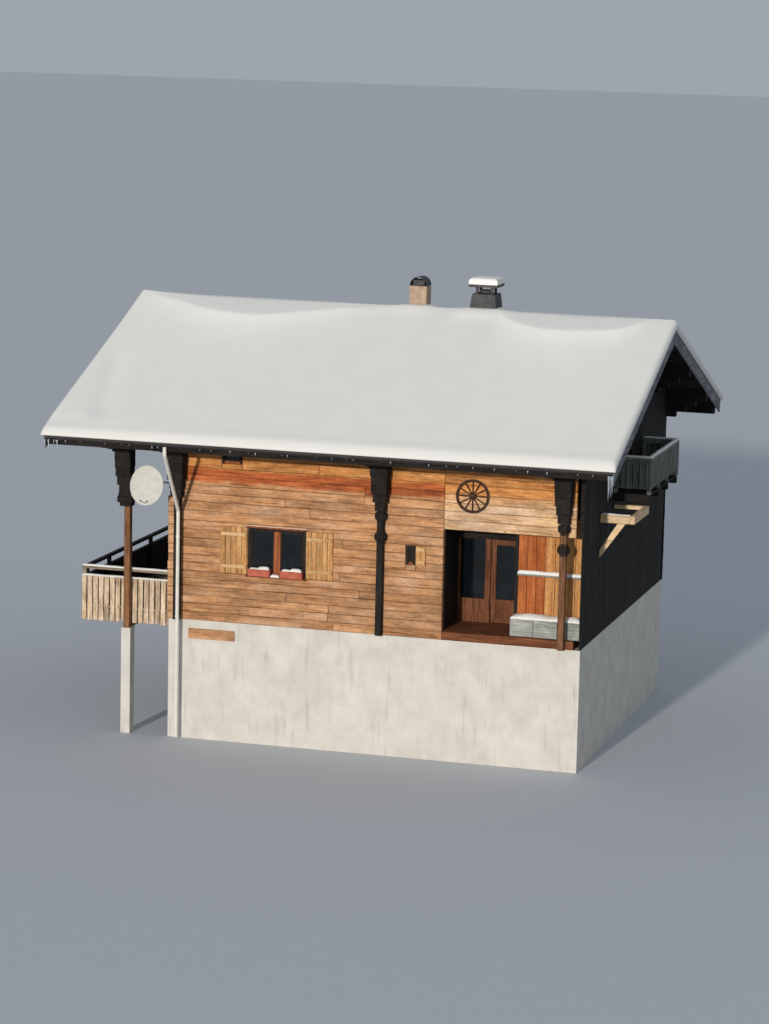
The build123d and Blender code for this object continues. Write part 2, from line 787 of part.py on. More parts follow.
def consoles():
    """Consoles on the posts, front and back."""
    lines = (GALLERY_POST_X, POST_LEFT_X, POST_MIDDLE_X, POST_RIGHT_X)
    front, back = [], []
    for x in lines:
        offset = GALLERY_POST_SETBACK if x == GALLERY_POST_X else 0
        front.append(console(x, -offset, -1, purlin_bottom(EAVE_PURLIN_FRONT)))
        back.append(
            console(x, BODY_DEPTH + offset, 1, purlin_bottom(EAVE_PURLIN_BACK))
        )
    save("eave_consoles", Compound(front + back))


def wall_post(x, y0, y1, top, knobs):
    """A post against the wall, with turned knobs under its console."""
    post = block(x - POST / 2, x + POST / 2, y0, y1, BASE_HEIGHT, top)
    for number in range(knobs):
        z = top - KNOB_DROP - number * KNOB_SPACING
        knob = Cylinder(KNOB_RADIUS, KNOB_HEIGHT)
        knob = fillet(knob.edges().filter_by(GeomType.CIRCLE), KNOB_ROUNDING)
        knob = Pos(x, (y0 + y1) / 2, z) * knob
        post += knob & block(x - POST, x + POST, y0 - POST, y1, 0, top)
    return post


def posts():
    """Wall posts, the free-standing gallery posts and their rendered piers."""
    pieces = []
    for x in (POST_LEFT_X, POST_MIDDLE_X, POST_RIGHT_X):
        knobs = 0 if x == POST_LEFT_X else KNOBS
        front = wall_post(x, -POST, 0, CONSOLE_FOOT_Z, knobs)
        back = wall_post(x, -POST, 0, CONSOLE_FOOT_BACK_Z, knobs)
        pieces.append(front)
        pieces.append(Pos(0, BODY_DEPTH, 0) * mirror(back, Plane.XZ))
    save("wall_posts", Compound(pieces))
    gallery, piers = [], []
    ends = (
        (0, 1, CONSOLE_FOOT_Z, PLATE_FRONT),
        (BODY_DEPTH, -1, CONSOLE_FOOT_BACK_Z, PLATE_BACK),
    )
    for y_face, inward, capital_top, plate in ends:
        y_out = y_face - inward * GALLERY_POST_SETBACK
        y_in = y_out + inward * POST
        low, high = sorted((y_out, y_in))
        x0, x1 = GALLERY_POST_X - POST / 2, GALLERY_POST_X + POST / 2
        post = block(x0, x1, low, high, PIER_TOP, purlin_bottom(plate))
        cap_out = y_out - inward * CONSOLE_FOOT
        cap_low, cap_high = sorted((cap_out, y_in + inward * CAPITAL_LIP))
        post += block(
            GALLERY_POST_X - CAPITAL / 2,
            GALLERY_POST_X + CAPITAL / 2,
            cap_low,
            cap_high,
            capital_top - CAPITAL_HEIGHT,
            capital_top,
        )
        gallery.append(post)
        pier_low, pier_high = sorted((y_out - inward * PIER_LIP, y_out + inward * PIER_DEPTH))
        piers.append(
            block(
                GALLERY_POST_X - PIER / 2,
                GALLERY_POST_X + PIER / 2,
                pier_low,
                pier_high,
                0,
                PIER_TOP,
            )
        )
    save("gallery_posts", Compound(gallery))
    save("gallery_piers", Compound(piers))


def porch():
    """The recess: its side walls, glazed back, boarded screen and bench."""
    front = SCREEN_SETBACK
    back = PORCH_DEPTH + PORCH_FRAME
    head_z = FLOOR_TOP + DOOR_HEIGHT + 2 * DOOR_GAP
    left = block(PORCH_X - RETURN_WALL, PORCH_X, TIMBER_WALL, back, FLOOR_TOP, CEILING)
    right = block(PORCH_END, PORCH_END + RETURN_WALL, front, back, FLOOR_TOP, CEILING)
    save("porch_side_walls", Compound([left, right]))
    save(
        "porch_lintel", block(PORCH_X, PORCH_END, PORCH_DEPTH, back, head_z, CEILING)
    )
    door_x0 = PORCH_END - PORCH_JAMB - DOOR_WIDTH
    spans = (
        (PORCH_X, PORCH_X + PORCH_JAMB),
        (door_x0 - PORCH_POST, door_x0),
        (PORCH_END - PORCH_JAMB, PORCH_END),
    )
    jambs = [block(a, b, PORCH_DEPTH, back, FLOOR_TOP, head_z) for a, b in spans]
    middle = PORCH_DEPTH + PORCH_FRAME / 2
    panel = block(
        PORCH_X + PORCH_JAMB,
        door_x0 - PORCH_POST,
        middle - SCREEN / 2,
        middle + SCREEN / 2,
        FLOOR_TOP,
        FLOOR_TOP + DOOR_KICK,
    )
    hung = jambs[2]
    for low in (HINGE_LOW, HINGE_HIGH):
        hung += hinge_half(low + HINGE_HEIGHT + HINGE_GAP, 1)
    save("porch_door_frame", Compound([jambs[0] + panel + jambs[1], hung]))
    split = PORCH_END + SCREEN_SPLIT
    inner = front + SCREEN
    red = block(PORCH_END + RETURN_WALL, split, front, inner, FLOOR_TOP, CEILING)
    save("porch_red_boards", red)
    pale = block(split, PORCH_SIDE_X, front, inner, FLOOR_TOP, CEILING)
    save("porch_pale_boards", pale)
    ledge = block(
        PORCH_END + RETURN_WALL,
        PORCH_SIDE_X,
        front - SCREEN_LEDGE_REACH,
        front,
        SCREEN_LEDGE_Z,
        SCREEN_LEDGE_Z + SCREEN_LEDGE,
    )
    seat_top = FLOOR_TOP + BENCH_HEIGHT
    y0 = front - BENCH_DEPTH
    under = seat_top - BENCH_BOARD
    bench = block(PORCH_END, PORCH_SIDE_X, y0, front, under, seat_top)
    inset = y0 + BENCH_BOARD
    bench += block(PORCH_END, PORCH_SIDE_X, inset, inset + BENCH_BOARD, FLOOR_TOP, under)
    for x in (PORCH_END, PORCH_SIDE_X - BENCH_BOARD):
        bench += block(x, x + BENCH_BOARD, inset, front, FLOOR_TOP, under)
    save("porch_bench_and_ledge", Compound([bench, ledge]))


def porch_side_light():
    """The fixed pane beside the entry door."""
    door_x0 = PORCH_END - PORCH_JAMB - DOOR_WIDTH
    middle = PORCH_DEPTH + PORCH_FRAME / 2
    return block(
        PORCH_X + PORCH_JAMB,
        door_x0 - PORCH_POST,
        middle - GLASS / 2,
        middle + GLASS / 2,
        FLOOR_TOP + DOOR_KICK,
        FLOOR_TOP + DOOR_HEIGHT + 2 * DOOR_GAP,
    )


def hinge_half(low, side):
    """One knuckle and its flap, on the frame (side 1) or on the leaf (side -1)."""
    x = PORCH_END - PORCH_JAMB - DOOR_GAP / 2
    y = PORCH_DEPTH + PORCH_FRAME
    z0 = FLOOR_TOP + low
    middle = z0 + HINGE_HEIGHT / 2
    knuckle = Pos(x, y + HINGE_RADIUS + HINGE_LIFT, middle)
    knuckle *= Cylinder(HINGE_RADIUS, HINGE_HEIGHT)
    x0, x1 = sorted((x, x + side * HINGE_WIDTH))
    return knuckle + block(x0, x1, y, y + HINGE_LEAF, z0, z0 + HINGE_HEIGHT)


def entry_door():
    """The glazed leaf at the back of the porch, hung on the right, opening inwards."""
    x1 = PORCH_END - PORCH_JAMB - DOOR_GAP
    x0 = x1 - DOOR_WIDTH + 2 * DOOR_GAP
    y1 = PORCH_DEPTH + PORCH_FRAME
    y0 = y1 - DOOR_THICKNESS
    z0 = FLOOR_TOP + DOOR_GAP
    z1 = z0 + DOOR_HEIGHT
    leaf = block(x0, x1, y0, y1, z0, z1)
    light = (x0 + DOOR_RAIL, x1 - DOOR_RAIL, z0 + DOOR_KICK, z1 - DOOR_RAIL)
    leaf -= block(light[0], light[1], y0, y1, light[2], light[3])
    recess = DOOR_THICKNESS / 4
    for y in (y0, y1 - recess):
        leaf -= block(
            light[0], light[1], y, y + recess, z0 + DOOR_RAIL, light[2] - DOOR_RAIL
        )
    middle = (y0 + y1) / 2
    pane = block(
        light[0], light[1], middle - GLASS / 2, middle + GLASS / 2, light[2], light[3]
    )
    save("entry_door_glass", pane)
    x = x0 + DOOR_RAIL / 2
    z = FLOOR_TOP + HANDLE_HEIGHT
    shank = Pos(x, y0 - HANDLE_REACH / 2, z) * Rot(90, 0, 0)
    handle = shank * Cylinder(HANDLE_RADIUS, HANDLE_REACH)
    lever = Pos(x + HANDLE_LENGTH / 2, y0 - HANDLE_REACH, z) * Rot(0, 90, 0)
    handle += lever * Cylinder(HANDLE_RADIUS, HANDLE_LENGTH)
    plate = (HANDLE_PLATE_WIDTH / 2, HANDLE_PLATE_HEIGHT / 2, HANDLE_PLATE)
    handle += block(
        x - plate[0], x + plate[0], y0 - plate[2], y0, z - plate[1], z + plate[1]
    )
    leaf += handle
    for low in (HINGE_LOW, HINGE_HIGH):
        leaf += hinge_half(low, -1)
    save("entry_door", leaf)


def slats(length):
    """Left edges of evenly spaced upright slats that fill a railing."""
    count = int((length + SLAT_GAP) // (SLAT_WIDTH + SLAT_GAP))
    spare = length - count * SLAT_WIDTH
    gap = spare / (count - 1)
    return [number * (SLAT_WIDTH + gap) for number in range(count)]


def railing(length, rail_top, slat_top, slat_bottom, floor, posts):
    """A railing along X: slats on its outer face at y = 0, rails and posts behind."""
    back = SLAT + RAIL_WIDTH
    fence = block(0, length, 0, back, rail_top - RAIL_HEAD, rail_top)
    rails = (slat_top - RAIL_DEPTH, max(slat_bottom, floor + RAIL_DEPTH / 2))
    for low in rails:
        fence += block(0, length, SLAT, back, low, low + RAIL_DEPTH)
    for number in range(posts):
        x = (length - RAIL_POST) * number / (posts - 1)
        fence += block(x, x + RAIL_POST, SLAT, back, floor, rail_top - RAIL_HEAD)
    boards = [
        block(x, x + SLAT_WIDTH, 0, SLAT, slat_bottom, slat_top) for x in slats(length)
    ]
    return fence.fuse(*boards)


def gallery():
    """The gallery along the left gable: beam, joists, deck and three railings."""
    x_out = -GALLERY_REACH
    inner_x = x_out + SLAT
    y0, y1 = GALLERY_Y0 + SLAT, GALLERY_Y1 - SLAT
    beam = block(
        GALLERY_POST_X - GALLERY_BEAM / 2,
        GALLERY_POST_X + GALLERY_BEAM / 2,
        y0,
        y1,
        PIER_TOP,
        JOIST_BOTTOM,
    )
    save("gallery_beam", beam)
    floor = block(inner_x, 0, y0, y1, JOIST_TOP, GALLERY_FLOOR)
    for number in range(GALLERY_JOISTS):
        y = y0 + (y1 - y0 - JOIST_WIDTH) * number / (GALLERY_JOISTS - 1)
        floor += block(inner_x, 0, y, y + JOIST_WIDTH, JOIST_BOTTOM, JOIST_TOP)
    save("gallery_floor", floor)
    sizes = (RAIL_TOP, SLAT_TOP, SLAT_BOTTOM, GALLERY_FLOOR)
    front = railing(GALLERY_REACH, *sizes, posts=2)
    side_length = GALLERY_Y1 - GALLERY_Y0 - 2 * (SLAT + RAIL_WIDTH)
    side = railing(side_length, *sizes, posts=7)
    back = Pos(0, GALLERY_Y1, 0) * Rot(0, 0, 180) * front
    front = Pos(x_out, GALLERY_Y0, 0) * front
    save("gallery_end_railings", Compound([front, back]))
    place = Pos(x_out, GALLERY_Y1 - SLAT - RAIL_WIDTH, 0) * Rot(0, 0, -90)
    save("gallery_side_railing", place * side)


def balcony():
    """The attic balcony on the right gable, on joists that jut from the wall."""
    x0, x1 = BODY_LENGTH, BODY_LENGTH + BALCONY_REACH
    inner_x = x1 - SLAT
    y0, y1 = BALCONY_START + SLAT, BALCONY_START + BALCONY_LENGTH - SLAT
    top = BALCONY_FLOOR - DECK_BOARD
    floor = block(x0, inner_x, y0, y1, top, BALCONY_FLOOR)
    for number in range(BALCONY_JOISTS):
        y = y0 + (y1 - y0 - JOIST_WIDTH) * number / (BALCONY_JOISTS - 1)
        floor += block(x0, inner_x, y, y + JOIST_WIDTH, top - JOIST_DEPTH, top)
    save("balcony_floor", floor)
    sizes = (BALCONY_RAIL_TOP, BALCONY_RAIL_TOP - RAIL_HEAD, BALCONY_SLAT_BOTTOM)
    side = railing(BALCONY_REACH, *sizes, floor=BALCONY_FLOOR, posts=2)
    back = SLAT + RAIL_WIDTH
    long = railing(BALCONY_LENGTH - 2 * back, *sizes, floor=BALCONY_FLOOR, posts=4)
    near = Pos(x0, BALCONY_START, 0) * side
    far = Pos(x1, BALCONY_START + BALCONY_LENGTH, 0) * Rot(0, 0, 180) * side
    outer = Pos(x1, BALCONY_START + back, 0) * Rot(0, 0, 90) * long
    save("balcony_end_railings", Compound([near, far]))
    save("balcony_outer_railing", outer)


def bracket_frame():
    """New pale timbers on the right gable: two arms, an outer beam and a brace."""
    x0, x1 = BODY_LENGTH, BODY_LENGTH + BRACKET_REACH
    y0, y1 = BRACKET_START, BRACKET_START + BRACKET_LENGTH
    size = BRACKET_TIMBER
    top = BALCONY_FLOOR - BRACKET_DROP
    low = top - BRACKET_DEPTH
    frame = block(x1 - size, x1, y0, y1, low, top)
    frame += block(x0, x1, y0, y0 + size, low, top)
    frame += block(x0, x1, y1 - size, y1, top - BRACKET_FAR_DEPTH, top)
    head = x1 - BRACKET_BRACE_INSET
    foot = low - BRACKET_BRACE_DROP
    outline = [
        (head - BRACKET_BRACE, low),
        (head, low),
        (x0, foot),
        (x0, foot + BRACKET_BRACE),
    ]
    frame += across_y(outline, y0, y0 + size)
    save("bracket_frame", frame)


def chimneys():
    """Two stacks from the ground up: one under an arched hood, one flared."""
    y0, y1 = CHIMNEY_Y0, CHIMNEY_Y0 + CHIMNEY_DEPTH
    half = CHIMNEY_WIDTH / 2
    x = CHIMNEY_LEFT_X
    left = block(x - half, x + half, y0, y1, 0, CHIMNEY_TOP)
    radius = (half**2 + HOOD_RISE**2) / (2 * HOOD_RISE)
    centre_z = CHIMNEY_TOP + HOOD_RISE - radius
    hood = Circle(radius) - Circle(radius - HOOD_WALL)
    hood = Plane.XZ * (Pos(0, -radius + centre_z - CHIMNEY_TOP + radius) * hood)
    hood = Pos(x, y0, CHIMNEY_TOP) * extrude(hood, amount=-CHIMNEY_DEPTH)
    hood = hood & block(x - half, x + half, y0, y1, CHIMNEY_TOP, CHIMNEY_TOP + HOOD_RISE)
    save("left_chimney_hood", hood)
    x = CHIMNEY_RIGHT_X
    stack = block(x - half, x + half, y0, y1, 0, FLARE_TOP)
    for dx in (-half, half - LEG):
        for y in (y0, y1 - LEG):
            stack += block(x + dx, x + dx + LEG, y, y + LEG, FLARE_TOP, FLARE_TOP + LEG_HEIGHT)
    save("chimney_stacks", Compound([left, stack]))
    foot = roof_z(RIDGE_Y, -SNOW_DEPTH) + FLARE_LIFT
    middle_y = (y0 + y1) / 2
    flare = loft(
        [
            Pos(x, middle_y, foot) * Rectangle(FLARE_WIDTH, FLARE_WIDTH),
            Pos(x, middle_y, FLARE_TOP) * Rectangle(FLARE_TOP_WIDTH, FLARE_TOP_WIDTH),
        ]
    )
    flare -= block(x - half, x + half, y0, y1, 0, 2 * FLARE_TOP)
    save("right_chimney_flare", flare)
    cap_z = FLARE_TOP + LEG_HEIGHT
    reach = CAP_WIDTH / 2
    slab = block(
        x - reach, x + reach, middle_y - reach, middle_y + reach, cap_z, cap_z + CAP_THICKNESS
    )
    save("right_chimney_cap", slab)
    top = cap_z + CAP_THICKNESS
    snow = block(
        x - reach, x + reach, middle_y - reach, middle_y + reach, top, top + CAP_SNOW
    )
    rim = snow.faces().sort_by(Axis.Z)[-1].edges()
    save("chimney_cap_snow", fillet(rim, CAP_SNOW_ROUNDING))


def wagon_wheel():
    """A spoked wheel hung flat on the wall over the porch."""
    turn = Rot(90, 0, 0)
    rim = Cylinder(WHEEL_RADIUS, WHEEL_THICKNESS)
    rim -= Cylinder(WHEEL_RADIUS - WHEEL_RIM, 2 * WHEEL_THICKNESS)
    wheel = rim + Cylinder(WHEEL_HUB, WHEEL_THICKNESS)
    length = WHEEL_RADIUS - WHEEL_RIM / 2
    for number in range(WHEEL_SPOKES):
        angle = 360 * number / WHEEL_SPOKES
        wheel += Rot(0, 0, angle) * Pos(length / 2, 0, 0) * Box(length, SPOKE, SPOKE)
    place = Pos(WHEEL_X, -WHEEL_THICKNESS / 2, WHEEL_Z)
    save("wagon_wheel", place * turn * wheel)


def satellite_dish():
    """An oval dish cut from a hollow ball, on a bent tube from the left gable."""
    ball = (DISH_RADIUS**2 + DISH_DEPTH**2) / (2 * DISH_DEPTH)
    hollow = Sphere(ball) - Sphere(ball - DISH_WALL)
    oval = Ellipse(DISH_RADIUS * DISH_SQUASH, DISH_RADIUS)
    shell = Pos(0, 0, ball) * Rot(90, 0, 0) * hollow & extrude(oval, amount=ball)
    root_z = ball - (ball**2 - DISH_ARM_ROOT**2) ** 0.5
    root = Vector(0, -DISH_ARM_ROOT, root_z)
    tip = Vector(0, -DISH_ARM_TIP, DISH_RADIUS)
    arm = tube([root, tip], DISH_ARM_RADIUS, 0)
    head = Pos(tip) * Cylinder(LNB_RADIUS, LNB_LENGTH)
    place = Pos(DISH_X, DISH_Y, DISH_Z) * Rot(90 - DISH_TILT, 0, 0)
    route = [
        (0, DISH_MAST_Y, DISH_Z),
        (DISH_X, DISH_MAST_Y, DISH_Z),
        (DISH_X, DISH_Y - DISH_WALL / 2, DISH_Z),
    ]
    mast = tube(route, DISH_MAST_RADIUS, DISH_BEND)
    save("satellite_dish", place * (shell + arm + head) + mast)


def tube(points, radius, bend):
    """A round bar along straight runs, rounded at the corners between them."""
    path = FilletPolyline(*points, radius=bend) if len(points) > 2 else Line(*points)
    section = Plane(origin=path @ 0, z_dir=path % 0) * Circle(radius)
    return sweep(section, path=path)


def downpipe():
    """From the front gutter back to the wall and down beside the left post."""
    outlet_y = FRONT_EAVE - GUTTER_RADIUS
    gutter_z = roof_z(FRONT_EAVE - COVER_LIP, COVER) - GUTTER_WALL - GUTTER_RADIUS
    wall_y = -POST - PIPE_RADIUS - PIPE_CLIP
    route = [
        (PIPE_OUTLET_X, outlet_y, gutter_z),
        (PIPE_OUTLET_X, outlet_y, gutter_z - PIPE_DROP),
        (PIPE_X, wall_y, PIPE_KNEE_Z),
        (PIPE_X, wall_y, PIPE_END_Z),
    ]
    pipe = tube(route, PIPE_RADIUS, PIPE_BEND)
    span = (PIPE_KNEE_Z - PIPE_BEND - PIPE_END_Z) / PIPE_CLIPS
    for number in range(PIPE_CLIPS):
        z = PIPE_END_Z + span * (number + 0.5)
        held = -POST if z > BASE_HEIGHT else 0
        pipe += block(
            PIPE_X - PIPE_CLIP, PIPE_X + PIPE_CLIP, wall_y, held, z, z + PIPE_CLIP
        )
    save("downpipe", pipe)


base_walls()
floors()
roof_timbers()
rafters()
roof_skin()
roof_snow()
long_walls()
gables()
windows()
shutters()
flower_boxes()
consoles()
posts()
porch()
entry_door()
gallery()
balcony()
bracket_frame()
chimneys()
wagon_wheel()
satellite_dish()
downpipe()
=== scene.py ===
# %% [markdown]
# # A timber chalet under snow
#
# This lesson dresses a finished CAD model of an alpine chalet: a rendered cellar storey, a
# main storey of squared logs, and a wide purlin roof that carries a winter's snow. The CAD
# gives every size and place, so nothing is fitted by eye. Here each part gets the detail
# that a joiner, a mason or the weather gave the real one, and a finish made of nodes.

# %% The frame and its kit
import math
import random

import bmesh
import bpy
import numpy as np
from mathutils import Matrix, Vector


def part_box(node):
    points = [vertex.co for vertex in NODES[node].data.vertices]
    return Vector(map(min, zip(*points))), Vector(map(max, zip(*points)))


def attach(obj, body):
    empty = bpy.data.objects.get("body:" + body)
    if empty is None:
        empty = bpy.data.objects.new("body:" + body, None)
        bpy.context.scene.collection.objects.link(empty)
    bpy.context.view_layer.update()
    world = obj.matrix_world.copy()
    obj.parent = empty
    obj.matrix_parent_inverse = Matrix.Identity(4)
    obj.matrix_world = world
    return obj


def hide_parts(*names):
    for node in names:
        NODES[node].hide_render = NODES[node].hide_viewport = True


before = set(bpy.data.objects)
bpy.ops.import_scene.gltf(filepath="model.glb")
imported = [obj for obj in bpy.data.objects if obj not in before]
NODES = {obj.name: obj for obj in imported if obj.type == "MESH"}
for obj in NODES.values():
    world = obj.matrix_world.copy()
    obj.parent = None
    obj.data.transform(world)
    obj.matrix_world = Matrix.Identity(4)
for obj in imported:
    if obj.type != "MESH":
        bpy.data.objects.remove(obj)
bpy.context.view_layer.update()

# %% [markdown]
# ## Where things are
#
# A builder measures from the corner of the house, so this lesson does too: x along the
# front from the left gable, y from the front wall towards the back, z from the lowest
# ground, all in metres. Adding `CORNER` to such a place puts it into the shared frame.

# %% Measuring from the corner of the house
CORNER = np.array([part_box("left_gable_wall")[0].x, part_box("front_wall")[0].y, 0.0])
BODY_LENGTH, BODY_DEPTH = 10.4, 9.7
WALL = 0.18

print("corner of the house:", CORNER.round(4))

# %% [markdown]
# ## The camera
#
# The photograph was taken with a long lens from a slope opposite, a little above the
# eaves and to the right of the house. The camera stands at that same place, so the roof
# is foreshortened as it is there. It looks at the house and leans by the same small
# roll. There is no shift, because nothing in the framing needs one.

# %% The camera
CAMERA_PLACE = Vector((22.30, -78.90, 19.21))
CAMERA_AIM = Vector((-0.08, -1.0, 5.35))
FOCAL_PIXELS = 3250
FRAME_HEIGHT = 1024
CAMERA_ROLL = 1.26

camera_data = bpy.data.cameras.new("long_lens")
camera_data.sensor_width = 36
camera_data.lens = FOCAL_PIXELS * camera_data.sensor_width / FRAME_HEIGHT
camera_data.clip_start, camera_data.clip_end = 1, 2000
camera = bpy.data.objects.new("long_lens", camera_data)
bpy.context.scene.collection.objects.link(camera)
facing = (CAMERA_AIM - CAMERA_PLACE).to_track_quat("-Z", "Y").to_matrix().to_4x4()
roll = Matrix.Rotation(math.radians(CAMERA_ROLL), 4, "Z")
camera.matrix_world = Matrix.Translation(CAMERA_PLACE) @ facing @ roll
bpy.context.scene.camera = camera
print("lens:", round(camera_data.lens, 1), "mm")

# %% [markdown]
# ## Writing materials as short sentences
#
# Every finish below is a tree of nodes. These helpers keep a tree readable: `add` makes
# one node and fills its sockets, and `paint` turns an everyday 0 to 255 colour into the
# linear values that a shader wants.

# %% Helpers for materials


def paint(red, green, blue):
    """An everyday colour as linear RGBA."""
    steps = [c / 255 for c in (red, green, blue)]
    linear = [c / 12.92 if c < 0.04045 else ((c + 0.055) / 1.055) ** 2.4 for c in steps]
    return (*linear, 1.0)


def add(tree, kind, sockets=None, **settings):
    """One node, with its settings and its sockets filled by values or links."""
    made = tree.nodes.new(kind)
    for key, value in settings.items():
        setattr(made, key, value)
    for key, value in (sockets or {}).items():
        if isinstance(value, bpy.types.NodeSocket):
            tree.links.new(value, made.inputs[key])
        else:
            made.inputs[key].default_value = value
    return made


def new_material(name, roughness=0.8, **shader):
    """A material with one shader, and the tree and shader to build on."""
    material = bpy.data.materials.new(name)
    material.use_nodes = True
    tree = material.node_tree
    surface = tree.nodes["Principled BSDF"]
    surface.inputs["Roughness"].default_value = roughness
    for key, value in shader.items():
        surface.inputs[key.replace("_", " ")].default_value = value
    return material, tree, surface


def place(tree, scale=(1, 1, 1), shift=None):
    """The surface's own place in metres, stretched, and moved by a piece's tone."""
    spot = add(tree, "ShaderNodeTexCoord").outputs["Object"]
    if shift is not None:
        moved = {0: shift, 1: (7.3, 3.1, 5.7), 2: spot}
        spot = add(tree, "ShaderNodeVectorMath", moved, operation="MULTIPLY_ADD").outputs[0]
    return add(tree, "ShaderNodeMapping", {"Vector": spot, "Scale": scale}).outputs[0]


def noise(tree, spot, size, detail=4.0, rough=0.55):
    """Soft random clouds whose lumps are about `size` metres across."""
    sockets = {"Vector": spot, "Scale": 1 / size, "Detail": detail, "Roughness": rough}
    return add(tree, "ShaderNodeTexNoise", sockets).outputs["Fac"]


def ramp(tree, level, *stops):
    """Colours laid out along a level from 0 to 1."""
    made = add(tree, "ShaderNodeValToRGB", {"Fac": level})
    band = made.color_ramp
    while len(band.elements) < len(stops):
        band.elements.new(0.5)
    for element, (at, colour) in zip(band.elements, stops):
        element.position, element.color = at, colour
    return made.outputs["Color"]


def blend(tree, level, under, over, how="MIX"):
    """Two colours mixed by a level."""
    sockets = {0: level, 6: under, 7: over}
    made = add(tree, "ShaderNodeMix", sockets, data_type="RGBA", blend_type=how)
    return made.outputs[2]


def stretch(tree, level, low, high, to_low=0.0, to_high=1.0):
    """A level cut to the part between low and high, and spread out again."""
    sockets = {0: level, 1: low, 2: high, 3: to_low, 4: to_high}
    return add(tree, "ShaderNodeMapRange", sockets).outputs[0]


def maths(tree, how, first, second):
    """One sum on two levels."""
    return add(tree, "ShaderNodeMath", {0: first, 1: second}, operation=how).outputs[0]


def relief(tree, surface, level, depth, strength=0.6):
    """Fine relief on the surface, from a level."""
    sockets = {"Height": level, "Distance": depth, "Strength": strength}
    tree.links.new(add(tree, "ShaderNodeBump", sockets).outputs[0], surface.inputs["Normal"])


print("a middle grey in linear values:", round(paint(128, 128, 128)[0], 3))


# %% [markdown]
# ## Timber, new and weathered
#
# Sawn softwood shows long streaks of grain, knots, and clouds of grey or brown where sun
# and rain reach it. All the timber here is one recipe with different colours: streaks are
# noise stretched along the piece, knots are small dark cells, and pale bloom is where the
# weather has bleached it. A number named `tone`, stored on each board, moves and tints the
# pattern, so no two boards match, and `groove` marks its planed arrises, which hold dirt.

# %% One recipe for all timber
ALONG = {"X": (0.06, 1, 1), "Y": (1, 0.06, 1), "Z": (1, 1, 0.06)}


def stops(*colours):
    """Dark, middle and pale places of a grain."""
    return tuple(zip((0.3, 0.46, 0.7), (paint(*colour) for colour in colours)))


def timber(name, along, *colours, streak=0.045, knots=0.5, patch=0.4, bloom=None, bands=(),
           foot=None, dirt=0.62):
    """Timber with its grain along one axis, other colours above a height, a darker foot."""
    material, tree, surface = new_material(name, roughness=0.85, Specular_IOR_Level=0.25)
    tone = add(tree, "ShaderNodeAttribute", attribute_name="tone").outputs["Fac"]
    groove = add(tree, "ShaderNodeAttribute", attribute_name="groove").outputs["Fac"]

    def lumps(share, size, detail, rough=0.55):
        """Noise drawn out along the grain: all the way at a share of 1, not at all at 0."""
        scale = [s ** share for s in ALONG[along]]
        return noise(tree, place(tree, scale, tone), size, detail, rough)

    def shaded(colour, shade):
        return blend(tree, 1.0, colour, shade, "MULTIPLY")

    grain = lumps(1, streak, 7.0, 0.62)
    colour = ramp(tree, grain, *stops(*colours))
    if bloom is not None:
        bleached = stretch(tree, lumps(0.35, 0.45, 6.0, 0.6), 0.47, 0.66, 0.0, 0.75)
        colour = blend(tree, bleached, colour, paint(*bloom))
    if bands:
        spot = add(tree, "ShaderNodeTexCoord").outputs["Object"]
        height = add(tree, "ShaderNodeSeparateXYZ", {0: spot}).outputs["Z"]
        ragged = noise(tree, place(tree, (0.3, 0.3, 1), tone), 0.3, 3.0)
        height = maths(tree, "ADD", height, maths(tree, "MULTIPLY", ragged, 0.3))
        for low, high, sheltered in bands:
            level = stretch(tree, height, low, high)
            colour = blend(tree, level, colour, ramp(tree, grain, *sheltered))
        if foot:
            colour = shaded(colour, stretch(tree, height, *foot))
    colour = shaded(colour, stretch(tree, lumps(0.35, 0.3, 5.0), 0.42, 0.68, 1.0, 1.0 - patch))
    colour = shaded(colour, stretch(tree, lumps(0.21, 0.07, 5.0, 0.7), 0.42, 0.62, 1.04, 0.8))
    cells = {"Vector": place(tree, [s ** 0.25 for s in ALONG[along]], tone), "Scale": 3.6}
    knot = add(tree, "ShaderNodeTexVoronoi", cells).outputs["Distance"]
    knot = stretch(tree, knot, 0.05, 0.10, knots, 0.0)
    colour = blend(tree, knot, colour, paint(*colours[0]))
    colour = shaded(colour, stretch(tree, tone, 0.0, 1.0, 0.86, 1.12))
    worn = stretch(tree, lumps(0.35, 0.5, 3.0), 0.38, 0.62, 0.15, 1.0)
    soiled = maths(tree, "MULTIPLY", groove, worn)
    colour = shaded(colour, stretch(tree, soiled, 0.0, 1.0, 1.0, 1.0 - dirt))
    tree.links.new(colour, surface.inputs["Base Color"])
    relief(tree, surface, grain, 0.006)
    return material


# %% The colours of each timber
FOX_RED = stops((128, 58, 26), (184, 94, 50), (212, 128, 74))
FRESH_ORANGE = stops((150, 84, 38), (212, 140, 76), (234, 172, 108))
STAIN = (20, 18, 17), (36, 31, 28), (54, 47, 42)
NEW_WOOD = (206, 164, 118), (238, 202, 156), (250, 226, 192)
WOODS = {
    "log": timber(
        "weathered_squared_log", "X", (140, 92, 58), (198, 142, 96), (220, 170, 124),
        bloom=(222, 176, 140), knots=0.85, foot=(3.6, 4.9, 0.92, 1.0),
        bands=((6.56, 6.66, FOX_RED), (6.90, 6.98, FRESH_ORANGE)),
    ),
    "porch_log": timber(
        "golden_squared_log", "X", (166, 117, 77), (224, 178, 129), (242, 205, 163),
        bloom=(234, 200, 170), knots=0.9, bands=((6.55, 6.8, FRESH_ORANGE),),
    ),
    "dark_x": timber("stained_beam", "X", *STAIN, knots=0.2),
    "dark_y": timber("rafter_stain_and_floor_painted_shade", "Y", *STAIN, knots=0.2),
    "new_x": timber("fresh_sawn_board", "X", *NEW_WOOD, knots=0.4, patch=0.12),
    "new_y": timber("fresh_sawn_bracket", "Y", *NEW_WOOD, knots=0.4, patch=0.12),
}
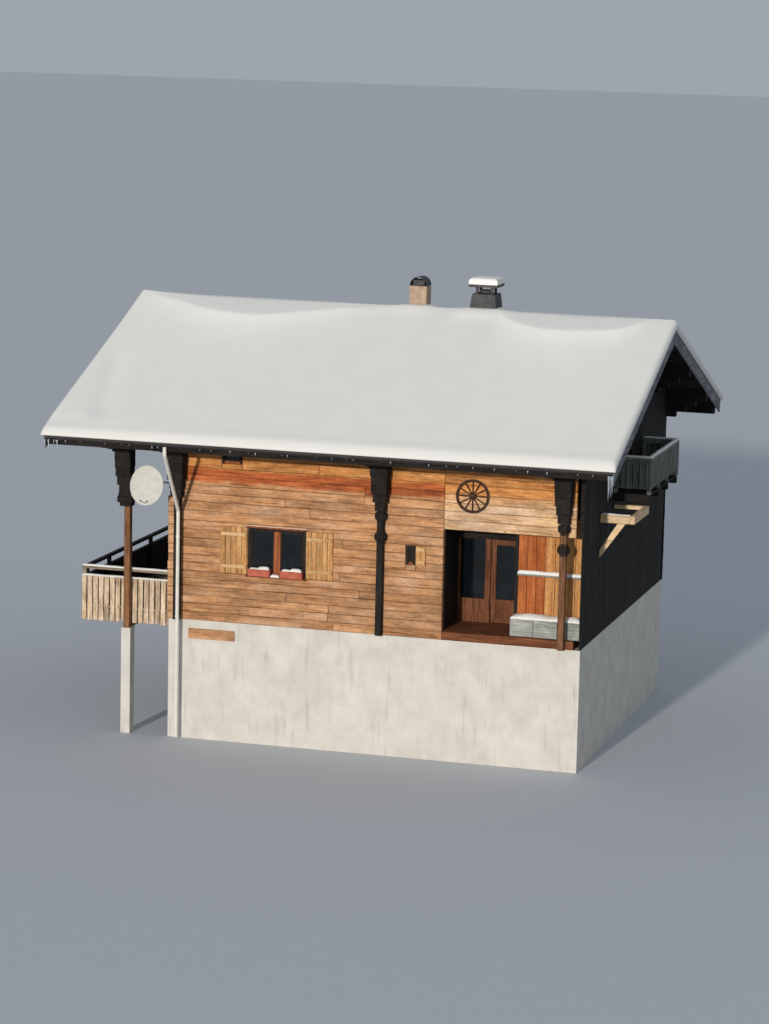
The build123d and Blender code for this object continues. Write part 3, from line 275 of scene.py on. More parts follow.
# The other timbers: key, name, grain, dark, middle, pale, then what differs in the recipe.
for key, name, along, dark, mid, pale, rest in (
    ("log_y", "weathered_gable_log", "Y", (96, 62, 42), (144, 100, 68), (176, 130, 94), {}),
    ("log_end", "log_ends_at_the_corner", "X", (150, 104, 68), (206, 156, 112), (228, 188, 146),
     {"patch": 0.2}),
    ("dark_z", "stained_post", "Z", (22, 20, 19), (38, 34, 31), (58, 51, 46), {"knots": 0.2}),
    ("gable", "brown_black_upright_board", "Z", (18, 19, 19), (32, 32, 31), (54, 53, 50),
     {"knots": 0.3}),
    ("gallery", "silvered_slat", "Z", (140, 116, 92), (218, 188, 154), (240, 220, 194),
     {"streak": 0.03, "knots": 0.7, "patch": 0.5}),
    ("grey", "silvered_deck_board", "Y", (90, 80, 70), (140, 124, 106), (176, 160, 140), {}),
    # The gallery's long side: boards painted near-black as the shade they stand in.
    ("painted_shade_rail", "stained_gallery_board", "Z", (24, 24, 24), (38, 37, 36), (58, 56, 54),
     {"knots": 0.2}),
    ("balcony", "grey_green_slat", "Z", (70, 76, 70), (102, 108, 100), (136, 140, 130),
     {"knots": 0.2, "patch": 0.25}),
    ("balcony_rail", "grey_green_rail", "Y", (96, 100, 94), (130, 134, 126), (156, 158, 148),
     {"knots": 0.2, "patch": 0.2}),
    ("joinery", "brown_stained_joinery", "Z", (112, 58, 32), (158, 88, 52), (184, 112, 72),
     {"knots": 0.1, "patch": 0.25}),
    ("sash", "dark_stained_sash", "Z", (30, 26, 24), (46, 39, 35), (66, 56, 49),
     {"knots": 0.1, "patch": 0.25}),
    ("red", "orange_brown_upright_board", "Z", (140, 68, 31), (184, 101, 50), (204, 126, 71),
     {"knots": 0.4, "patch": 0.3}),
    ("honey", "honey_upright_board", "Z", (180, 118, 64), (216, 154, 92), (234, 180, 120),
     {"knots": 0.5, "patch": 0.15, "streak": 0.07}),
    ("ochre", "oiled_shutter_board", "Z", (160, 106, 58), (204, 150, 94), (224, 176, 120),
     {"knots": 0.6, "patch": 0.3}),
    ("batten", "pale_shutter_batten", "X", (186, 134, 84), (224, 180, 126), (238, 204, 156),
     {"knots": 0.3, "patch": 0.2}),
    ("floor", "worn_plank", "X", (84, 48, 28), (128, 76, 46), (162, 104, 68), {}),
    ("frosted", "frosted_barge_board", "Y", (88, 88, 92), (128, 128, 132), (170, 170, 174),
     {"knots": 0.1, "patch": 0.3}),
    ("gallery_post", "brown_gallery_post", "Z", (96, 62, 40), (140, 96, 64), (166, 120, 86), {}),
    ("porch_post", "brown_porch_post", "Z", (84, 56, 38), (122, 84, 58), (150, 108, 78), {}),
    ("rail", "silvered_rail", "X", (98, 86, 74), (150, 134, 116), (190, 174, 154), {}),
    ("bench", "frosted_bench_board", "X", (132, 134, 129), (162, 164, 158), (190, 192, 186),
     {"patch": 0.3}),
    ("door", "dark_brown_door_timber", "Z", (74, 44, 28), (120, 74, 48), (152, 100, 70),
     {"knots": 0.1, "patch": 0.3}),
    ("cellar", "orange_brown_board", "X", (160, 102, 62), (212, 156, 110), (232, 184, 138),
     {"knots": 0.6}),
    ("wheel", "dry_wheelwright_timber", "X", (40, 28, 22), (72, 48, 36), (104, 74, 56),
     {"patch": 0.2}),
):
    WOODS[key] = timber(name, along, dark, mid, pale, **rest)
print("timber finishes:", len(WOODS))

# %% [markdown]
# ## Snow, render, clay and metal
#
# Settled snow is not pure white: it is a soft grey-white. Its colour also carries painted
# light and shade: it is painted brighter on the faces just below the wind crests and painted
# darker along the rolled eaves and verges, which a mark on the sheet tells. Lime render is
# cream, a little uneven under the trowel, and streaked where it gets wet. The metals are old
# and matt, so each has dull patches as well as a low shine.

# %% Snow
SNOW, tree, surface = new_material("settled_snow", roughness=0.62)
drifts = noise(tree, place(tree), 0.7, 3.0)
tint = ramp(tree, drifts, (0.3, paint(238, 237, 231)), (0.7, paint(241, 239, 233)))
packed = add(tree, "ShaderNodeAttribute", attribute_name="packed").outputs["Fac"]
# Painted light and shade: the snow's colour is raised below the crests and lowered along the rolled
# edges.
PAINTED_CREST_LIGHT, PAINTED_EDGE_SHADE = 1.12, 0.86
shade = stretch(tree, packed, -1.0, 1.0, PAINTED_CREST_LIGHT, PAINTED_EDGE_SHADE)
tint = blend(tree, 1.0, tint, shade, "MULTIPLY")
tree.links.new(tint, surface.inputs["Base Color"])
relief(tree, surface, noise(tree, place(tree), 0.02, 3.0), 0.008, 0.3)
print("snow is multiplied by", PAINTED_CREST_LIGHT, "where fresh and", PAINTED_EDGE_SHADE, "where packed")

# %% Ice and glass


def clouded(made, scale, size, detail, dark, pale, low=0.3):
    """Gives a new material a colour that drifts from a dark to a pale one."""
    material, tree, surface = made
    clouds = noise(tree, place(tree, scale), size, detail)
    colour = ramp(tree, clouds, (low, paint(*dark)), (1 - low, paint(*pale)))
    tree.links.new(colour, surface.inputs["Base Color"])
    return material


ICE = clouded(new_material("ice", roughness=0.12, Transmission_Weight=0.6, IOR=1.31),
              (1, 1, 0.2), 0.03, 3.0, (206, 220, 232), (236, 242, 246))
glass = new_material("window_glass", roughness=0.08, Specular_IOR_Level=0.4)
GLASS = clouded(glass, (1, 1, 1), 0.5, 2.0, (10, 13, 16), (22, 28, 32))
relief(*glass[1:], noise(glass[1], place(glass[1]), 0.3, 1.0), 0.002, 0.2)
print("made:", ICE.name, "and", GLASS.name)

# %% Lime render and chimney masonry


def masonry(name, dark, pale, streaks, lump=0.5):
    """Trowelled render with clouds, fine grain and upright water streaks."""
    material, tree, surface = new_material(name, roughness=0.9)
    clouds = noise(tree, place(tree), lump, 6.0, 0.6)
    colour = ramp(tree, clouds, (0.3, paint(*dark)), (0.7, paint(*pale)))
    runs = noise(tree, place(tree, (1, 1, 0.12)), 0.16, 4.0)
    runs = stretch(tree, runs, 0.56, 0.74, 0.0, streaks)
    colour = blend(tree, runs, colour, paint(150, 140, 130))
    tree.links.new(colour, surface.inputs["Base Color"])
    grain = noise(tree, place(tree), 0.03, 5.0)
    relief(tree, surface, maths(tree, "ADD", grain, clouds), 0.01, 0.5)
    return material


RENDER = masonry("lime_render", (200, 194, 184), (219, 214, 205), 0.35)
CHIMNEY = masonry("chimney_masonry", (150, 126, 106), (194, 168, 142), 0.3, 0.18)
SOOTY = masonry("sooty_masonry", (60, 56, 56), (96, 90, 88), 0.3, 0.18)
print("masonry:", RENDER.name, CHIMNEY.name, SOOTY.name)

# %% Metals, paint and clay


def metal(name, dark, pale, roughness):
    """Old sheet metal or paint, with dull patches."""
    made = new_material(name, roughness=roughness)
    clouded(made, (1, 1, 1), 0.16, 5.0, dark, pale, 0.35)
    relief(*made[1:], noise(made[1], place(made[1]), 0.02, 2.0), 0.002, 0.3)
    return made[0]


GUTTER = metal("dark_gutter_sheet", (30, 27, 26), (46, 42, 40), 0.55)
PIPE = metal("pale_painted_pipe", (220, 216, 205), (232, 228, 216), 0.6)
COVER = metal("roof_sheet", (34, 32, 33), (52, 48, 48), 0.6)
DARK_METAL = metal("sooty_sheet", (34, 36, 38), (58, 60, 62), 0.6)
DISH = metal("dish_paint", (202, 201, 192), (216, 214, 204), 0.9)
IRON = metal("wrought_iron", (22, 21, 22), (40, 38, 37), 0.5)
CLAY = metal("terracotta", (168, 82, 62), (198, 108, 86), 0.85)
print("materials:", len(bpy.data.materials))

# %% [markdown]
# ## Finishes on the CAD pieces
#
# Beams, rafters, floors and sheet metal already have the right shape, so they stay as they
# are and only take a finish, each with its grain along the piece. Nodes that get a detailed
# piece further down take one as well, so that nothing is ever bare.

# %% A finish for every CAD node
FINISHES = (
    (RENDER, "base_long_walls base_side_walls gallery_piers"),
    (WOODS["cellar"], "cellar_board"),
    (WOODS["new_y"], "bracket_frame"),
    (WOODS["floor"], "main_floor attic_floor porch_sill_beam"),
    (WOODS["grey"], "gallery_floor gallery_beam"),
    (WOODS["log"], "front_wall back_wall"),
    (WOODS["porch_log"], "front_wall_over_porch"),
    (WOODS["log_y"], "left_gable_wall"),
    (WOODS["gable"], "right_gable_wall"),
    (WOODS["log_end"], "corner_log_ends"),
    (WOODS["dark_x"], "porch_lintel roof_purlins purlin_corbels front_roof_boards "
                      "back_roof_boards eave_boards"),
    # The balcony floor takes the dark rafter stain as painted shade on its sunlit edge.
    (WOODS["dark_y"], "front_rafters back_rafters balcony_floor"),
    # The porch's side walls take the near-black post finish: partly their own stain, partly painted
    # shade for the recess's shaded side.
    (WOODS["dark_z"], "porch_side_walls eave_consoles wall_posts"),
    (WOODS["door"], "porch_door_frame entry_door"),
    (WOODS["red"], "porch_red_boards"),
    (WOODS["honey"], "porch_pale_boards"),
    (WOODS["bench"], "porch_bench_and_ledge"),
    (WOODS["joinery"], "window_frames"),
    (WOODS["ochre"], "shutters"),
    (WOODS["frosted"], "front_barge_boards back_barge_boards"),
    (WOODS["gallery_post"], "gallery_posts"),
    (WOODS["gallery"], "gallery_end_railings gallery_side_railing"),
    (WOODS["balcony"], "balcony_end_railings balcony_outer_railing"),
    (WOODS["wheel"], "wagon_wheel"),
    (GLASS, "entry_door_glass window_glass"),
    (CLAY, "flower_boxes"),
    (COVER, "front_roof_cover back_roof_cover"),
    (GUTTER, "gutters"),
    (PIPE, "downpipe"),
    (SNOW, "front_roof_snow back_roof_snow chimney_cap_snow"),
    (CHIMNEY, "chimney_stacks"),
    (DARK_METAL, "left_chimney_hood right_chimney_flare"),
    (SOOTY, "right_chimney_cap"),
    (DISH, "satellite_dish"),
)
done = set()
for finish, names in FINISHES:
    for name in names.split():
        for slot in NODES[name].material_slots:
            slot.material = finish
        done.add(name)
print("nodes without a finish:", sorted(set(NODES) - done))

# %% [markdown]
# ## How a timber is drawn
#
# A squared log or a board is a box whose arrises are planed off a little. That small
# bevel matters more than anything else here: it is what draws the joint lines of a wall.
# One template of 24 corners is stretched to each size, so the bevel keeps its width.
# Each timber stores its own `tone`, which its finish reads.

# %% Helpers for timbers
DRAW = random.Random(11)


def box_template():
    """Corners of a bevelled box as signs, with a note of which are set in."""
    mesh = bmesh.new()
    bmesh.ops.create_cube(mesh, size=1.0)
    bmesh.ops.bevel(mesh, geom=mesh.edges[:], offset=0.1, segments=1, affect="EDGES")
    bmesh.ops.recalc_face_normals(mesh, faces=mesh.faces)
    corners = np.array([v.co[:] for v in mesh.verts])
    faces = [[v.index for v in f.verts] for f in mesh.faces]
    arris = [float(max(abs(c) for c in f.normal) < 0.9) for f in mesh.faces]
    mesh.free()
    return np.sign(corners), np.abs(corners) < 0.45, faces, arris


SIGNS, SET_IN, BOX_FACES, ARRIS = box_template()
print("corners of the template:", len(SIGNS))


def loose(name, points, faces, smooth=False, **marks):
    """A loose mesh, with marks at its points or on its faces that a finish can read."""
    mesh = bpy.data.meshes.new(name)
    mesh.from_pydata([tuple(p) for p in points], [], faces)
    for mark, values in marks.items():
        on = "POINT" if len(values) == len(points) else "FACE"
        mesh.attributes.new(mark, "FLOAT", on).data.foreach_set("value", values)
    mesh.polygons.foreach_set("use_smooth", [smooth] * len(mesh.polygons))
    return bpy.data.objects.new(name, mesh)


# %% Finished pieces and timbers
def piece(name, points, faces, finish, slot, body="house", smooth=False, **marks):
    """A mesh put at the house's corner, with its finish and the body it rides on."""
    made = loose(name, np.array(points) + CORNER, faces, smooth, **marks)
    made.data.materials.append(finish)
    bpy.context.scene.collection.objects.link(made)
    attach(made, body)
    return made


def timbers(name, boxes, finish, slot, bevel=0.007, cut=None):
    """Bevelled timbers from rows of x0, x1, y0, y1, z0, z1, measured from the corner."""
    points, faces, tones = [], [], []
    for row in boxes:
        low, high = np.array(row[0::2]), np.array(row[1::2])
        small = min(bevel, (high - low).min() * 0.3)
        corners = (low + high) / 2 + SIGNS * ((high - low) / 2 - SET_IN * small)
        if cut is not None:
            corners = cut(corners, low, high)
        start = len(points)
        points.extend(corners)
        faces.extend([start + i for i in face] for face in BOX_FACES)
        tones.extend([DRAW.random()] * len(BOX_FACES))
    print(f"{name}: {len(boxes)} timbers")
    return piece(name, points, faces, finish, slot, tone=tones, groove=ARRIS * len(boxes))


SCRAP = 0.012


def around(rows, openings):
    """Rows of u0, u1, v0, v1 with the openings' rectangles taken out."""
    for a0, a1, b0, b1 in openings:
        kept = []
        for u0, u1, v0, v1 in rows:
            if u1 <= a0 or u0 >= a1 or v1 <= b0 or v0 >= b1:
                kept.append((u0, u1, v0, v1))
                continue
            m0, m1 = max(u0, a0), min(u1, a1)
            kept += [(u0, m0, v0, v1), (m1, u1, v0, v1), (m0, m1, v0, b0), (m0, m1, b1, v1)]
        rows = [r for r in kept if r[1] > r[0] and r[3] > r[2]]
    return [r for r in rows if r[1] - r[0] > SCRAP and r[3] - r[2] > SCRAP]


# %% [markdown]
# ## The walls of squared logs
#
# The main storey is laid up in squared logs about a hand and a half high, one course on
# another, butted end to end. The face is left as the adze and the weather made it: no
# two logs stand quite flush. Courses are drawn as rows, broken at random joints, and the
# windows' openings are taken out of them. Under the eaves the wood stays fox-red,
# because neither sun nor rain reaches it. The finish handles that by height.

# %% Courses of logs
COURSE, COURSE_SPREAD = 0.215, 0.03
LOG_SHORTEST, LOG_LONGEST = 2.6, 5.2
FACE_PLAY = 0.005
WALL_FOOT = 3.0
PORCH_LEFT, PORCH_HEAD = 6.97, 5.71
PLATE_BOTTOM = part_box("front_wall")[1].z


def courses(u0, u1, v0, v1):
    """Rows of logs that fill a wall from v0 up to v1, butted at random places."""
    rows, low = [], v0
    while low < v1 - 0.02:
        high = low + DRAW.uniform(COURSE - COURSE_SPREAD, COURSE + COURSE_SPREAD)
        high = v1 if v1 - high < COURSE / 2 else high
        start = u0
        while start < u1 - 0.01:
            end = start + DRAW.uniform(LOG_SHORTEST, LOG_LONGEST)
            end = u1 if u1 - end < LOG_SHORTEST / 2 else end
            rows.append((start, end, low, high))
            start = end
        low = high
    return rows


def wall_of(rows, near, far):
    """Logs across x, with faces that stand out by a little play."""
    play = [DRAW.uniform(0, FACE_PLAY) for row in rows]
    return [(u0, u1, near + p, far - p, v0, v1) for (u0, u1, v0, v1), p in zip(rows, play)]


# %% The front wall
# Openings are kept as left, right, sill and head.
SILL, LINTEL, WINDOW_WIDE = 4.24, 5.41, 1.485
ATTIC_SILL, ATTIC_LINTEL = 6.94, 7.50
MAIN_WINDOW = (2.03, 3.515, SILL, LINTEL)
SMALL_WINDOW = (6.03, 6.28, 4.78, 5.25)
ATTIC_WINDOW = (1.33, 1.86, ATTIC_SILL, ATTIC_LINTEL)
front_rows = around(
    courses(WALL, PORCH_LEFT, WALL_FOOT, PLATE_BOTTOM),
    [MAIN_WINDOW, SMALL_WINDOW, ATTIC_WINDOW],
)
front_logs = timbers(
    "front_wall_logs", wall_of(front_rows, 0, WALL), WOODS["log"], "wall_timber", 0.012
)
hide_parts("front_wall")
over_rows = courses(PORCH_LEFT, BODY_LENGTH - WALL, PORCH_HEAD, PLATE_BOTTOM)
over_logs = timbers(
    "logs_over_porch", wall_of(over_rows, 0, WALL), WOODS["porch_log"], "wall_timber", 0.012
)
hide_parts("front_wall_over_porch")

# %% The back wall repeats the front's windows
BACK_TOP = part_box("back_wall")[1].z
BACK_STARTS = (2.03, 6.80)
ATTIC_IN, ATTIC_WIDE = 0.4775, 0.53
back_openings = []
for start in BACK_STARTS:
    back_openings.append((start, start + WINDOW_WIDE, SILL, LINTEL))
    attic_start = start + ATTIC_IN
    back_openings.append((attic_start, attic_start + ATTIC_WIDE, ATTIC_SILL, ATTIC_LINTEL))
back_rows = around(courses(WALL, BODY_LENGTH - WALL, WALL_FOOT, BACK_TOP), back_openings)
back_logs = timbers(
    "back_wall_logs", wall_of(back_rows, BODY_DEPTH - WALL, BODY_DEPTH), WOODS["log"],
    "wall_timber", 0.009,
)
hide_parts("back_wall")

# %% [markdown]
# ## The gables
#
# The left gable is laid up in logs like the front. The right one wears upright boards of
# dark timber, drawn almost black: partly the timber's own colour, partly painted shade, as
# that gable stands in shade. Both end under the rafters, so the last corners of each timber
# are moved onto the line of the roof.

# %% Gables cut to the line of the roof
RIDGE = 4.79
ROOF_ANGLE = math.radians(21)
SLOPE, UPRIGHT = math.tan(ROOF_ANGLE), 1 / math.cos(ROOF_ANGLE)
EAVE_Y, EAVE_TOP = -1.9, 7.7
TIMBERS_BELOW = 0.235
SHORT_OF_RIDGE, NEAR_RIDGE, CLEAR_OF_ROOF = 0.12, 0.3, 8.1


def roof_line(y, below=0.0):
    """Height of the roof's covering over a place y, less a depth square to it."""
    inward = np.minimum(y, 2 * RIDGE - y) - EAVE_Y
    return EAVE_TOP + inward * SLOPE - below * UPRIGHT


def cut_log(corners, low, high):
    """Moves the ends of a level log onto the roof's line."""
    reach = (corners[:, 2] - roof_line(0.0, TIMBERS_BELOW)) / SLOPE
    corners[:, 1] = np.clip(corners[:, 1], reach, 2 * RIDGE - reach)
    return corners


def under_roof(u0, u1, v0, v1):
    """Whether any part of a gable log is below the rafters."""
    at_ridge = u0 < RIDGE + NEAR_RIDGE and u1 > RIDGE - NEAR_RIDGE
    return v0 < CLEAR_OF_ROOF or at_ridge or v1 < roof_line((u0 + u1) / 2, TIMBERS_BELOW)


GABLE_TOP = float(roof_line(RIDGE, TIMBERS_BELOW))
LEFT_DOOR, LEFT_WINDOW = (3.30, 4.25, 3.2, 5.25), (6.10, 7.585, SILL, LINTEL)
left_rows = around(
    courses(0, BODY_DEPTH, WALL_FOOT, GABLE_TOP - SHORT_OF_RIDGE), [LEFT_DOOR, LEFT_WINDOW]
)
left_logs = timbers(
    "left_gable_logs", [(0, WALL, *row) for row in left_rows if under_roof(*row)],
    WOODS["log_y"], "wall_timber", 0.009, cut_log,
)
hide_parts("left_gable_wall")

# %% Upright boards on the right gable
BOARD_WIDTH, BOARD_PLAY = 0.19, 0.006
BOARDS_TOP = 9.0
PORCH_SIDE, PORCH_SIDE_END = 0.04, 0.5
RIGHT_DOOR = (4.30, 5.25, 6.35, 8.40)


def cut_board(corners, low, high):
    """Moves the head of an upright board onto the roof's line."""
    head = corners[:, 2] > (low[2] + high[2]) / 2
    if high[2] == BOARDS_TOP:
        corners[head, 2] += roof_line(corners[head, 1], TIMBERS_BELOW) - high[2]
    return corners


edges = np.linspace(0, BODY_DEPTH, round(BODY_DEPTH / BOARD_WIDTH) + 1)
board_rows = around([(a, b, WALL_FOOT, BOARDS_TOP) for a, b in zip(edges, edges[1:])], [RIGHT_DOOR])
# The near-black of these boards is partly painted shade.
right_boards = timbers(
    "right_gable_boards",
    [(BODY_LENGTH - (PORCH_SIDE if row[0] < PORCH_SIDE_END else WALL),
      BODY_LENGTH - DRAW.uniform(0, BOARD_PLAY), *row) for row in board_rows],
    WOODS["gable"], "dark_timber", 0.010, cut_board,
)
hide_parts("right_gable_wall")

# %% [markdown]
# ## Snow on the roof
#
# A winter's snow lies like one thick quilt. It creeps down the slope, so it rolls over
# at the eaves and the verges, and it slumps at the left corner. Wind off the ridge
# scours two long hollows along the top, each ending in a soft crest. The quilt is a
# sheet of points over the roof: each point's height is the roof's, plus a depth worked
# out from its distance to the edges, the ridge and the crests. Stretching a plain sheet
# of points this way keeps full control of the outline, which sculpting would not.

# %% Snow depth over the roof
SNOW_THICK = 0.235
SNOW_DEEP = SNOW_THICK * UPRIGHT
SNOW_X0, SNOW_X1 = -2.60, 11.545
SNOW_Y0, SNOW_Y1 = -2.04, 11.62
CREST_PLACES = [-2.45, -1.93, -1.34, -0.67, -0.06, 0.51, 1.04, 1.53, 1.99, 2.46, 2.94, 3.67, 4.3,
                4.6, 7.0, 7.19, 7.42, 7.73, 8.31, 8.82, 9.32, 9.80, 10.26, 10.55, 10.85, 11.1]
CREST_DROPS = [0, 0.30, 0.50, 0.84, 1.04, 1.14, 1.13, 0.99, 0.78, 0.61, 0.43, 0.22, 0.12,
               0, 0, 0.42, 0.60, 0.83, 1.09, 1.12, 1.08, 0.98, 0.81, 0.48, 0.16, 0]
SCOUR_SLOPE = 0.26
CREST_ROUND = 0.018
FOLD_WIDE, FOLD_DEEP = 0.30, 0.060


def gentle(x, y, seed, size, waves=7):
    """A slow smooth wave field between -1 and 1."""
    turn = random.Random(seed)
    total = 0
    for _ in range(waves):
        angle, phase = turn.uniform(0, math.tau), turn.uniform(0, math.tau)
        step = math.tau / (size * turn.uniform(0.6, 1.8))
        total = total + np.sin((x * math.cos(angle) + y * math.sin(angle)) * step + phase)
    return total / waves * 1.6


def snow_depth(x, y):
    """Upright depth of the snow at a place on the roof."""
    front = y < RIDGE
    crest = np.interp(x, CREST_PLACES, CREST_DROPS)
    crest = np.where(front, crest, 0.3 + 0.2 * np.sin(x * 0.9))
    # Below its crest the snow is full depth; above it the wind has scoured it off.
    at_crest = SNOW_THICK + (SLOPE - SCOUR_SLOPE) * crest
    at_crest = np.maximum(at_crest, SNOW_DEEP * 0.8)
    below = np.abs(y - RIDGE) - crest
    slope_side = SNOW_DEEP * 0.92 + (at_crest - SNOW_DEEP * 0.92) * np.exp(-np.abs(below) / 0.8)
    slope_side = np.where(below > 0, slope_side, at_crest + 0.02 * below)
    ridge_side = at_crest + (SLOPE - SCOUR_SLOPE) * below
    both = np.exp(-slope_side / CREST_ROUND) + np.exp(-ridge_side / CREST_ROUND)
    depth = 0.004 * gentle(x, y, 3, 3.0) + 0.0008 * gentle(x, y, 4, 0.8)
    depth = depth - CREST_ROUND * np.log(both)
    # A shallow fold runs down the front near the left end.
    along = np.clip((y - SNOW_Y0) / (RIDGE - SNOW_Y0), 0, 1)
    fold = SNOW_X0 + np.interp(along, [0.1, 0.55, 0.8], [1.25, 0.6, 0.5])
    window = np.clip((along - 0.06) * 9, 0, 1) * np.clip((0.75 - along) * 3, 0, 1)
    dent = np.exp(-(((x - fold) / FOLD_WIDE) ** 2))
    return depth - FOLD_DEEP * dent * window * front


# %% The sheet's points, the rolled edges and the heaps round the chimneys
STACK = (4.595, 5.045, 4.94, 5.37)
FLARE = (6.21, 6.89, 4.815, 5.495)
HEAPED_TO, HEAP_REACH, HEAP_MOST = 10.54, 0.34, 0.46
SHEET_STEP, SHEET_EDGE = 0.085, 0.35
STRAIGHT_FROM = 2.6


def grid_lines(low, high, extra):
    """Places across the sheet: close together at both edges, and on the holes."""
    fine = [0, 0.004, 0.014, 0.03, 0.052, 0.08, 0.115, 0.16, 0.21, 0.27]
    middle = np.arange(low + SHEET_EDGE, high - SHEET_EDGE, SHEET_STEP)
    middle = [m for m in middle if all(abs(m - e) > SHEET_STEP * 0.35 for e in extra)]
    return np.array(sorted([low + f for f in fine] + [high - f for f in fine] + middle + extra))


def rolled(gap, radius, share):
    """How much of the depth is left near an edge, as a quarter round."""
    part = np.clip(gap / radius, 0, 1)
    return share + (1 - share) * np.sqrt(1 - (1 - part) ** 2)


SHEET_X = grid_lines(SNOW_X0, SNOW_X1, [*STACK[:2], *FLARE[:2]])
SHEET_Y = grid_lines(SNOW_Y0, SNOW_Y1, [*STACK[2:], RIDGE, *FLARE[2:]])
X, Y = np.meshgrid(SHEET_X, SHEET_Y, indexing="ij")
# One line of the sheet runs along the crests, so that their edge is clean.
CREST_LINE = RIDGE - SHEET_Y[np.argmin(np.abs(RIDGE - SHEET_Y - 0.6))]
crest = np.interp(X, CREST_PLACES, CREST_DROPS)
line, down = np.maximum(crest, 0.10), RIDGE - Y
past = (down - CREST_LINE) / (STRAIGHT_FROM - CREST_LINE)
bent = np.where(down < CREST_LINE, down * line / CREST_LINE, line + past * (STRAIGHT_FROM - line))
Y = np.where((down > 0) & (down < STRAIGHT_FROM), RIDGE - bent, Y)

from_side = np.minimum(X - SNOW_X0, SNOW_X1 - X)
from_eave = np.minimum(Y - SNOW_Y0, SNOW_Y1 - Y)
depth = snow_depth(X, Y)
depth += 0.07 * np.exp(-(X - SNOW_X0) / 1.1) * np.exp(-np.abs(Y - RIDGE) / 1.0)
for x0, x1, y0, y1 in (STACK, FLARE):
    gap_x = np.maximum(np.maximum(x0 - X, X - x1), 0)
    gap_y = np.maximum(np.maximum(y0 - Y, Y - y1), 0)
    heap = np.exp(-((np.hypot(gap_x, gap_y) / HEAP_REACH) ** 2))
    depth += (np.minimum(HEAPED_TO - roof_line(Y), HEAP_MOST) - depth) * heap
slump = 0.30 + 0.75 * np.exp(-(X - SNOW_X0) / 2.2)
sag = np.clip(1 - from_eave / slump, 0, 1) ** 2
depth = depth * rolled(from_eave, 0.16, 0.28) * rolled(from_side, 0.13, 0.30)
depth -= 0.05 * sag * (Y < RIDGE)
top = roof_line(Y) + np.maximum(depth, 0.03)
print("snow depth from", depth.min().round(3), "to", depth.max().round(3))

# %% Where light and shade are painted on the snow
# Painted light on the faces just below the crests; painted shade along the eaves and verges.
below_crest = RIDGE - Y - crest
crest_light = np.exp(-np.clip(below_crest, 0, None) / 0.55) * np.clip(crest / 0.4, 0, 1)
packed = np.where((Y < RIDGE) & (crest > 0.05) & (below_crest > -0.02), -crest_light, 0.0)
packed += np.clip(1 - from_eave / 0.5, 0, 1) + 0.6 * np.clip(1 - from_side / 0.12, 0, 1)
packed = np.clip(packed, -1, 1)
print("packed from", packed.min().round(2), "to", packed.max().round(2))

# %% The quilt as one closed mesh
UNDER_LIP = 0.0015
COVER_X, COVER_Y = (-2.53, 11.475), (-1.955, 11.535)
bottom_x = np.clip(X, *COVER_X)
bottom_y = np.clip(Y, *COVER_Y)
bottom = roof_line(bottom_y) + UNDER_LIP


def slab(tops, bottoms, holes=()):
    """Points and faces of a sheet with thickness, and which of its places they use."""
    rows, columns = tops.shape[:2]
    lower = rows * columns
    index = np.arange(lower).reshape(rows, columns)
    solid = np.ones((rows - 1, columns - 1), bool)
    for i0, i1, j0, j1 in holes:
        solid[i0:i1, j0:j1] = False
    faces = []
    for i, j in zip(*np.nonzero(solid)):
        a, b = int(index[i, j]), int(index[i + 1, j])
        c, d = int(index[i + 1, j + 1]), int(index[i, j + 1])
        faces.append((a, b, c, d))
        faces.append((d + lower, c + lower, b + lower, a + lower))
        sides = (((i, j - 1), a, b), ((i + 1, j), b, c), ((i, j + 1), c, d), ((i - 1, j), d, a))
        for (p, q), s, t in sides:
            if not (0 <= p < rows - 1 and 0 <= q < columns - 1 and solid[p, q]):
                faces.append((t, s, s + lower, t + lower))
    points = np.concatenate([tops.reshape(-1, 3), bottoms.reshape(-1, 3)])
    used = np.unique(np.array(faces))
    renumber = {int(old): new for new, old in enumerate(used)}
    return points[used], [[renumber[v] for v in face] for face in faces], used


def hole_in_sheet(x0, x1, y0, y1):
    """The cells of the sheet that one chimney takes."""
    places = ((SHEET_X, x0), (SHEET_X, x1), (SHEET_Y, y0), (SHEET_Y, y1))
    return [int(np.argmin(np.abs(lines - place))) for lines, place in places]


quilt_points, quilt_faces, used = slab(
    np.dstack([X, Y, top]),
    np.dstack([bottom_x, bottom_y, bottom]),
    [hole_in_sheet(*STACK), hole_in_sheet(*FLARE)],
)
# The quilt carries the mark of its painted light and shade.
roof_quilt = piece("roof_snow_quilt", quilt_points, quilt_faces, SNOW, "snow", smooth=True,
                   packed=np.tile(packed.ravel(), 2)[used])
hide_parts("front_roof_snow", "back_roof_snow")
print("faces of the quilt:", len(quilt_faces))

# %% [markdown]
# ## Consoles of stacked log ends
#
# The eave purlins rest on consoles: log ends laid one on another, each reaching out a
# little further than the one under it, and widening upwards like a vase. They could be
# carved from one block, but the steps between the log ends are what gives them their
# rough edge. Each console is a short stack of timbers whose reach and width are read from
# two curves.

# %% Consoles
PURLIN_HIGH, PURLIN_HALF, CONSOLE_HIGH = 0.26, 0.10, 1.36
EAVE_PURLINS = (-1.18, 10.88)
WALL_POSTS = (0.235, 5.42, 9.94)
GALLERY_POST, GALLERY_SET_OFF = -1.11, 0.01
LOG_DROPS = (0, 0.09, 0.18, 0.29, 0.50, 0.71, 0.92, 1.14, 1.36)
REACH_DROPS, REACHES = (0.06, 0.13, 0.23, 0.30, 0.82, 1.36), (1.28, 0.84, 0.50, 0.38, 0.34, 0.19)
WIDTH_DROPS, HALF_WIDTHS = (0, 0.82, 1.36), (0.23, 0.195, 0.12)


